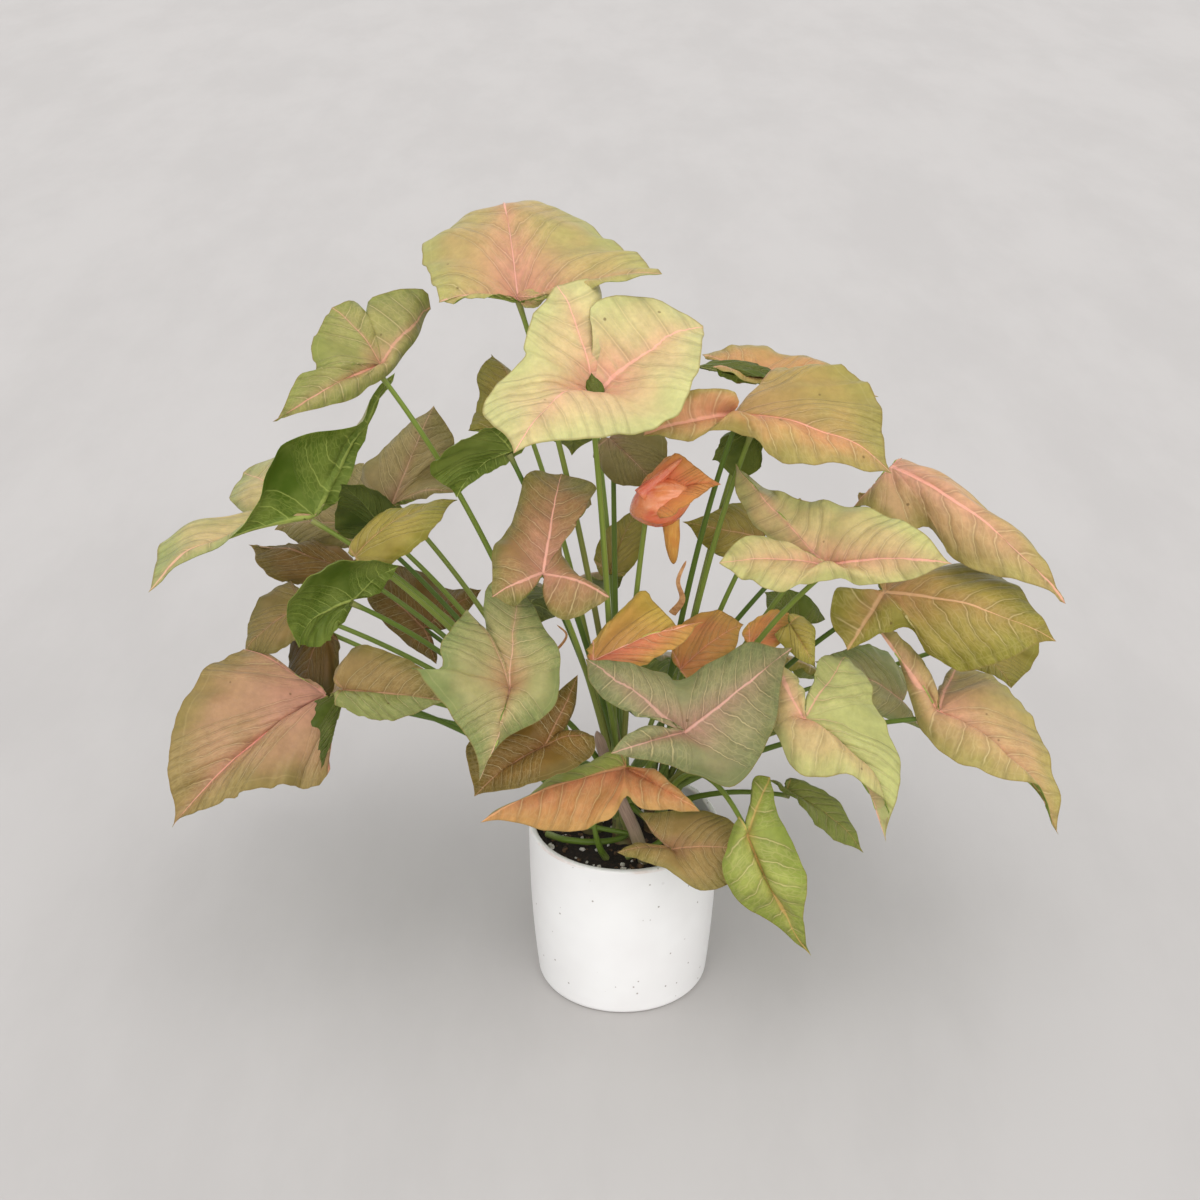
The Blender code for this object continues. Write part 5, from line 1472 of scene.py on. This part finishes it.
# pot
potSettings = {
    "height": 122.0,
    "rimRadius": 65.0,
    "taper": 5.8,
    "taperPower": 2.2,
    "wall": 4.3,
    "floor": 7.0,
    "footRound": 4.0,
    "rimRound": 1.6,
    "turnSteps": 144,
    "wobble": 0.12,
    "glaze": ((240, 239, 237), (233, 231, 229)),
    "speck": (128, 112, 98),
    "largeSpeck": (96, 84, 74),
    "clay": (214, 190, 176),
}


def potRadius(height):
    plan = potSettings
    return plan["rimRadius"] - plan["taper"] * (1 - height / plan["height"]) ** plan["taperPower"]


def arcPoints(centreX, centreZ, radius, start, end, count):
    angles = np.radians(np.linspace(start, end, count))
    return [(centreX + radius * math.cos(a), centreZ + radius * math.sin(a)) for a in angles]


def turnedFaces(steps, ringCount):
    # faces of a body turned in so many steps, with one point on the axis at each end
    faces = [(0, 1 + k, 1 + (k + 1) % steps) for k in range(steps)]
    for ring in range(ringCount - 1):
        base = 1 + ring * steps
        for k in range(steps):
            after = (k + 1) % steps
            faces.append((base + k, base + k + steps, base + after + steps, base + after))
    base, end = 1 + (ringCount - 1) * steps, 1 + ringCount * steps
    return faces + [(base + k, end, base + (k + 1) % steps) for k in range(steps)]


def latheMesh(profile, steps, wobble=0.0):
    # a closed turned body, its profile running from axis to axis
    inner = profile[1:-1]
    turn = np.linspace(0.0, 2 * math.pi, steps, endpoint=False)
    rings = []
    for radius, height in inner:
        hand = (1 + wobble / 65.0 * np.sin(2 * turn + height / 40.0)
                + wobble / 90.0 * np.sin(5 * turn - height / 23.0))
        rings.append(np.column_stack([radius * hand * np.cos(turn), radius * hand * np.sin(turn),
                                      np.full(steps, height)]))
    points = np.vstack([[[0, 0, profile[0][1]]], *rings, [[0, 0, profile[-1][1]]]])
    return points, turnedFaces(steps, len(inner))


def buildPotMaterial():
    material, sheet, socket = newMaterial("glazed_ceramic", 0.3)
    place = sheet.place()
    _, _, height = sheet.split(place)
    cloud = sheet.noise(place, 14.0, 3.0)
    colour = sheet.mix(sheet.ramp(cloud, 0.3, 0.7), *srgbAll(potSettings["glaze"]))
    fleck = sheet.cells(place, 150.0)
    rare = sheet.ramp(sheet.cells(place, 150.0, "Color"), 0.56, 0.60)
    speck = sheet.times(sheet.ramp(fleck, 0.07, 0.13, 1.0, 0.0), rare)
    colour = sheet.mix(sheet.times(speck, 0.75), colour, srgb(*potSettings["speck"]))
    large = sheet.times(sheet.ramp(sheet.cells(place, 38.0), 0.035, 0.06, 1.0, 0.0),
                        sheet.ramp(sheet.cells(place, 38.0, "Color"), 0.72, 0.76))
    colour = sheet.mix(sheet.times(large, 0.85), colour, srgb(*potSettings["largeSpeck"]))
    clay = sheet.times(sheet.ramp(height, 0.1196, 0.1206), sheet.ramp(height, 0.1222, 0.1214))
    wear = sheet.times(clay, sheet.ramp(sheet.noise(place, 60.0, 3.0), 0.42, 0.62, 0.05, 0.55))
    colour = sheet.mix(wear, colour, srgb(*potSettings["clay"]))
    sheet.put(socket["Base Color"], colour)
    sheet.put(socket["Roughness"], sheet.ramp(cloud, 0.3, 0.7, 0.34, 0.38))
    skin = sheet.plus(sheet.noise(place, 60.0, 3.0), sheet.times(speck, -0.3))
    sheet.put(socket["Normal"], sheet.bump(skin, 0.05, 0.0006))
    socket["Coat Weight"].default_value = 0.12
    socket["Coat Roughness"].default_value = 0.4
    return material


def buildPot():
    plan = potSettings
    rimZ = plan["height"] - plan["rimRound"]
    inside = [(radius, plan["floor"]) for radius in (20.0, 40.0, 52.0)]
    heights = (plan["floor"] + 1.0, 20, 35, 50, 65, 80, 95, 108, 117)
    inside += [(potRadius(z) - plan["wall"], z) for z in heights]
    rim = arcPoints(plan["rimRadius"] - plan["wall"] + plan["rimRound"], rimZ, plan["rimRound"], 180, 90, 6)
    rim += arcPoints(plan["rimRadius"] - plan["rimRound"], rimZ, plan["rimRound"], 90, 0, 6)
    outside = [(potRadius(z), z) for z in np.linspace(117, plan["footRound"] + 3, 24)]
    foot = arcPoints(potRadius(plan["footRound"]) - plan["footRound"], plan["footRound"], plan["footRound"],
                     0, -90, 9)
    profile = [(0.0, plan["floor"]), *inside, *rim, *outside, *foot, (40.0, 0.0), (20.0, 0.0), (0.0, 0.0)]
    points, faces = latheMesh(profile, plan["turnSteps"], plan["wobble"])
    piece = meshObject("pot_glazed", points, faces, [buildPotMaterial()], None, 50)
    register(piece, "pot")


buildPot()
print("pot is built")


# soil
soilSettings = {
    "top": 111.0,
    "bottom": 7.3,
    "gap": 0.3,
    "rings": 46,
    "around": 132,
    "relief": 1.6,
    "crumb": 0.7,
    "perlite": 85,
    "bark": 110,
    "perliteSize": (0.8, 2.0),
    "barkSize": (0.9, 2.6),
    "crumbs": ((30, 24, 20), (62, 48, 38)),
    "fibre": (112, 86, 62),
    "perliteColours": ((236, 232, 224), (196, 188, 176)),
    "barkColours": ((120, 92, 66), (58, 42, 32)),
}


def patchNoise(x, y, cell, seed):
    # smooth value noise over a square lattice with one random height a corner
    lattice = np.random.default_rng(seed).random((64, 64))
    u, v = x / cell + 32.0, y / cell + 32.0
    i, j = np.floor(u).astype(int), np.floor(v).astype(int)
    fu, fv = smoothStep(u - i, 0.0, 1.0), smoothStep(v - j, 0.0, 1.0)
    corner = [[lattice[(i + a) % 64, (j + b) % 64] for b in (0, 1)] for a in (0, 1)]
    return ((corner[0][0] * (1 - fu) + corner[1][0] * fu) * (1 - fv)
            + (corner[0][1] * (1 - fu) + corner[1][1] * fu) * fv)


def soilHeight(x, y):
    plan = soilSettings
    away = np.hypot(x, y)
    height = (plan["top"] + plan["relief"] * (patchNoise(x, y, 16.0, 3) - 0.45)
              + 0.9 * (patchNoise(x, y, 6.0, 4) - 0.5))
    height = height + plan["crumb"] * (patchNoise(x, y, 2.3, 5) - 0.5)
    return height - 1.2 * smoothStep(away, 52.0, 60.0)


def buildSoilMaterial():
    material, sheet, socket = newMaterial("potting_soil", 0.95)
    place = sheet.place()
    crumbs = sheet.noise(place, 420.0, 4.0, 0.7)
    colour = sheet.mix(sheet.ramp(crumbs, 0.4, 0.7), *srgbAll(soilSettings["crumbs"]))
    fibre = sheet.ramp(sheet.noise(place, 900.0, 3.0), 0.66, 0.72)
    colour = sheet.mix(sheet.times(fibre, 0.6), colour, srgb(*soilSettings["fibre"]))
    dress(sheet, socket, colour, sheet.ramp(crumbs, 0.3, 0.7, 0.85, 0.98), crumbs, 0.9, 0.0015)
    return material


def buildGrainMaterial(name, colours, scale, roughness):
    light, dark = srgbAll(colours)
    material, sheet, socket = newMaterial(name, roughness)
    place = sheet.place()
    pores = sheet.noise(place, scale, 4.0, 0.65)
    sheet.put(socket["Base Color"], sheet.mix(sheet.ramp(pores, 0.35, 0.65), dark, light))
    sheet.put(socket["Roughness"], sheet.ramp(pores, 0.3, 0.7, roughness - 0.1, roughness))
    sheet.put(socket["Normal"], sheet.bump(pores, 0.6, 0.0006))
    return material


def buildSoil():
    plan = soilSettings
    turn = np.linspace(0.0, 2 * math.pi, plan["around"], endpoint=False)
    wall = potSettings["wall"] + plan["gap"]
    edge = potRadius(plan["top"]) - wall
    radii = edge * np.linspace(1.0 / plan["rings"], 1.0, plan["rings"])
    rings = []
    for radius in radii:
        x, y = radius * np.cos(turn), radius * np.sin(turn)
        rings.append(np.column_stack([x, y, soilHeight(x, y)]))
    for height in (90.0, 60.0, 30.0, plan["bottom"]):
        radius = potRadius(height) - wall
        rings.append(np.column_stack([radius * np.cos(turn), radius * np.sin(turn),
                                      np.full(len(turn), height)]))
    zero = np.zeros(1)
    points = np.vstack([[[0, 0, soilHeight(zero, zero)[0]]], *rings, [[0, 0, plan["bottom"]]]])
    faces = turnedFaces(plan["around"], len(rings))
    piece = meshObject("soil_surface", points, faces, [buildSoilMaterial()], None, 60)
    register(piece, "soil")
    grainMaterial = buildGrainMaterial("perlite", plan["perliteColours"], 900.0, 0.9)
    barkMaterial = buildGrainMaterial("bark_bit", plan["barkColours"], 600.0, 0.9)
    scatterBits("perlite_grains", plan["perlite"], plan["perliteSize"], (0.75, 1.0), grainMaterial, 11)
    scatterBits("bark_bits", plan["bark"], plan["barkSize"], (0.3, 0.7), barkMaterial, 12)


def roundTemplate():
    # a ball of 80 faces, from which each grain is made
    sheetMesh = bpy.data.meshes.new("ballTemplate")
    ball = bmesh.new()
    bmesh.ops.create_icosphere(ball, subdivisions=2, radius=1.0)
    ball.to_mesh(sheetMesh)
    ball.free()
    points = np.array([vertex.co[:] for vertex in sheetMesh.vertices])
    faces = [tuple(face.vertices) for face in sheetMesh.polygons]
    bpy.data.meshes.remove(sheetMesh)
    return points, faces


def scatterBits(name, count, sizes, flatness, material, seed):
    # grains on the soil, inside the pot's wall and clear of the stems
    draw = np.random.default_rng(seed)
    ball, ballFaces = roundTemplate()
    points, faces, placed = [], [], 0
    while placed < count:
        away, turn = 58.0 * math.sqrt(draw.random()), 2 * math.pi * draw.random()
        size = sizes[0] + (sizes[1] - sizes[0]) * draw.random() ** 2
        flat = flatness[0] + (flatness[1] - flatness[0]) * draw.random()
        spin, bumps = draw.random() * math.pi, 0.72 + 0.5 * draw.random(len(ball))
        x, y = away * math.cos(turn), away * math.sin(turn)
        if min(math.hypot(x - cx, y - cy) for cx, cy in stemSettings["crowns"].values()) < 9.5 + size:
            continue
        grain = ball * bumps[:, None] * size * np.array([1.25, 0.85, flat])
        turned = np.column_stack([grain[:, 0] * math.cos(spin) - grain[:, 1] * math.sin(spin),
                                  grain[:, 0] * math.sin(spin) + grain[:, 1] * math.cos(spin), grain[:, 2]])
        z = soilHeight(np.array([x]), np.array([y]))[0] + 0.35 * size * flat
        faces += [tuple(corner + placed * len(ball) for corner in face) for face in ballFaces]
        points.append(turned + np.array([x, y, z]))
        placed += 1
    piece = meshObject(name, np.vstack(points), faces, [material], None, 40)
    register(piece, None, "soil")


buildSoil()
print("soil is built")


# floor, outside the object
floorSettings = {"halfSize": 9.0, "pale": (184, 180, 177), "soft": (179, 175, 172), "patch": 5.0,
                 "stretch": 0.35}


def buildFloor():
    half = floorSettings["halfSize"] * 1000
    points = [(-half, -half, 0), (half, -half, 0), (half, half, 0), (-half, half, 0)]
    material, sheet, socket = newMaterial("pale_floor", 0.85)
    x, y, _ = sheet.split(sheet.place())
    place = sheet.join(x, sheet.times(y, floorSettings["stretch"]))
    patches = sheet.noise(place, floorSettings["patch"], 6.0, 0.65)
    colour = sheet.mix(sheet.ramp(patches, 0.35, 0.65), srgb(*floorSettings["soft"]),
                       srgb(*floorSettings["pale"]))
    sheet.put(socket["Base Color"], colour)
    piece = meshObject("floor", points, [(0, 1, 2, 3)], [material])


buildFloor()
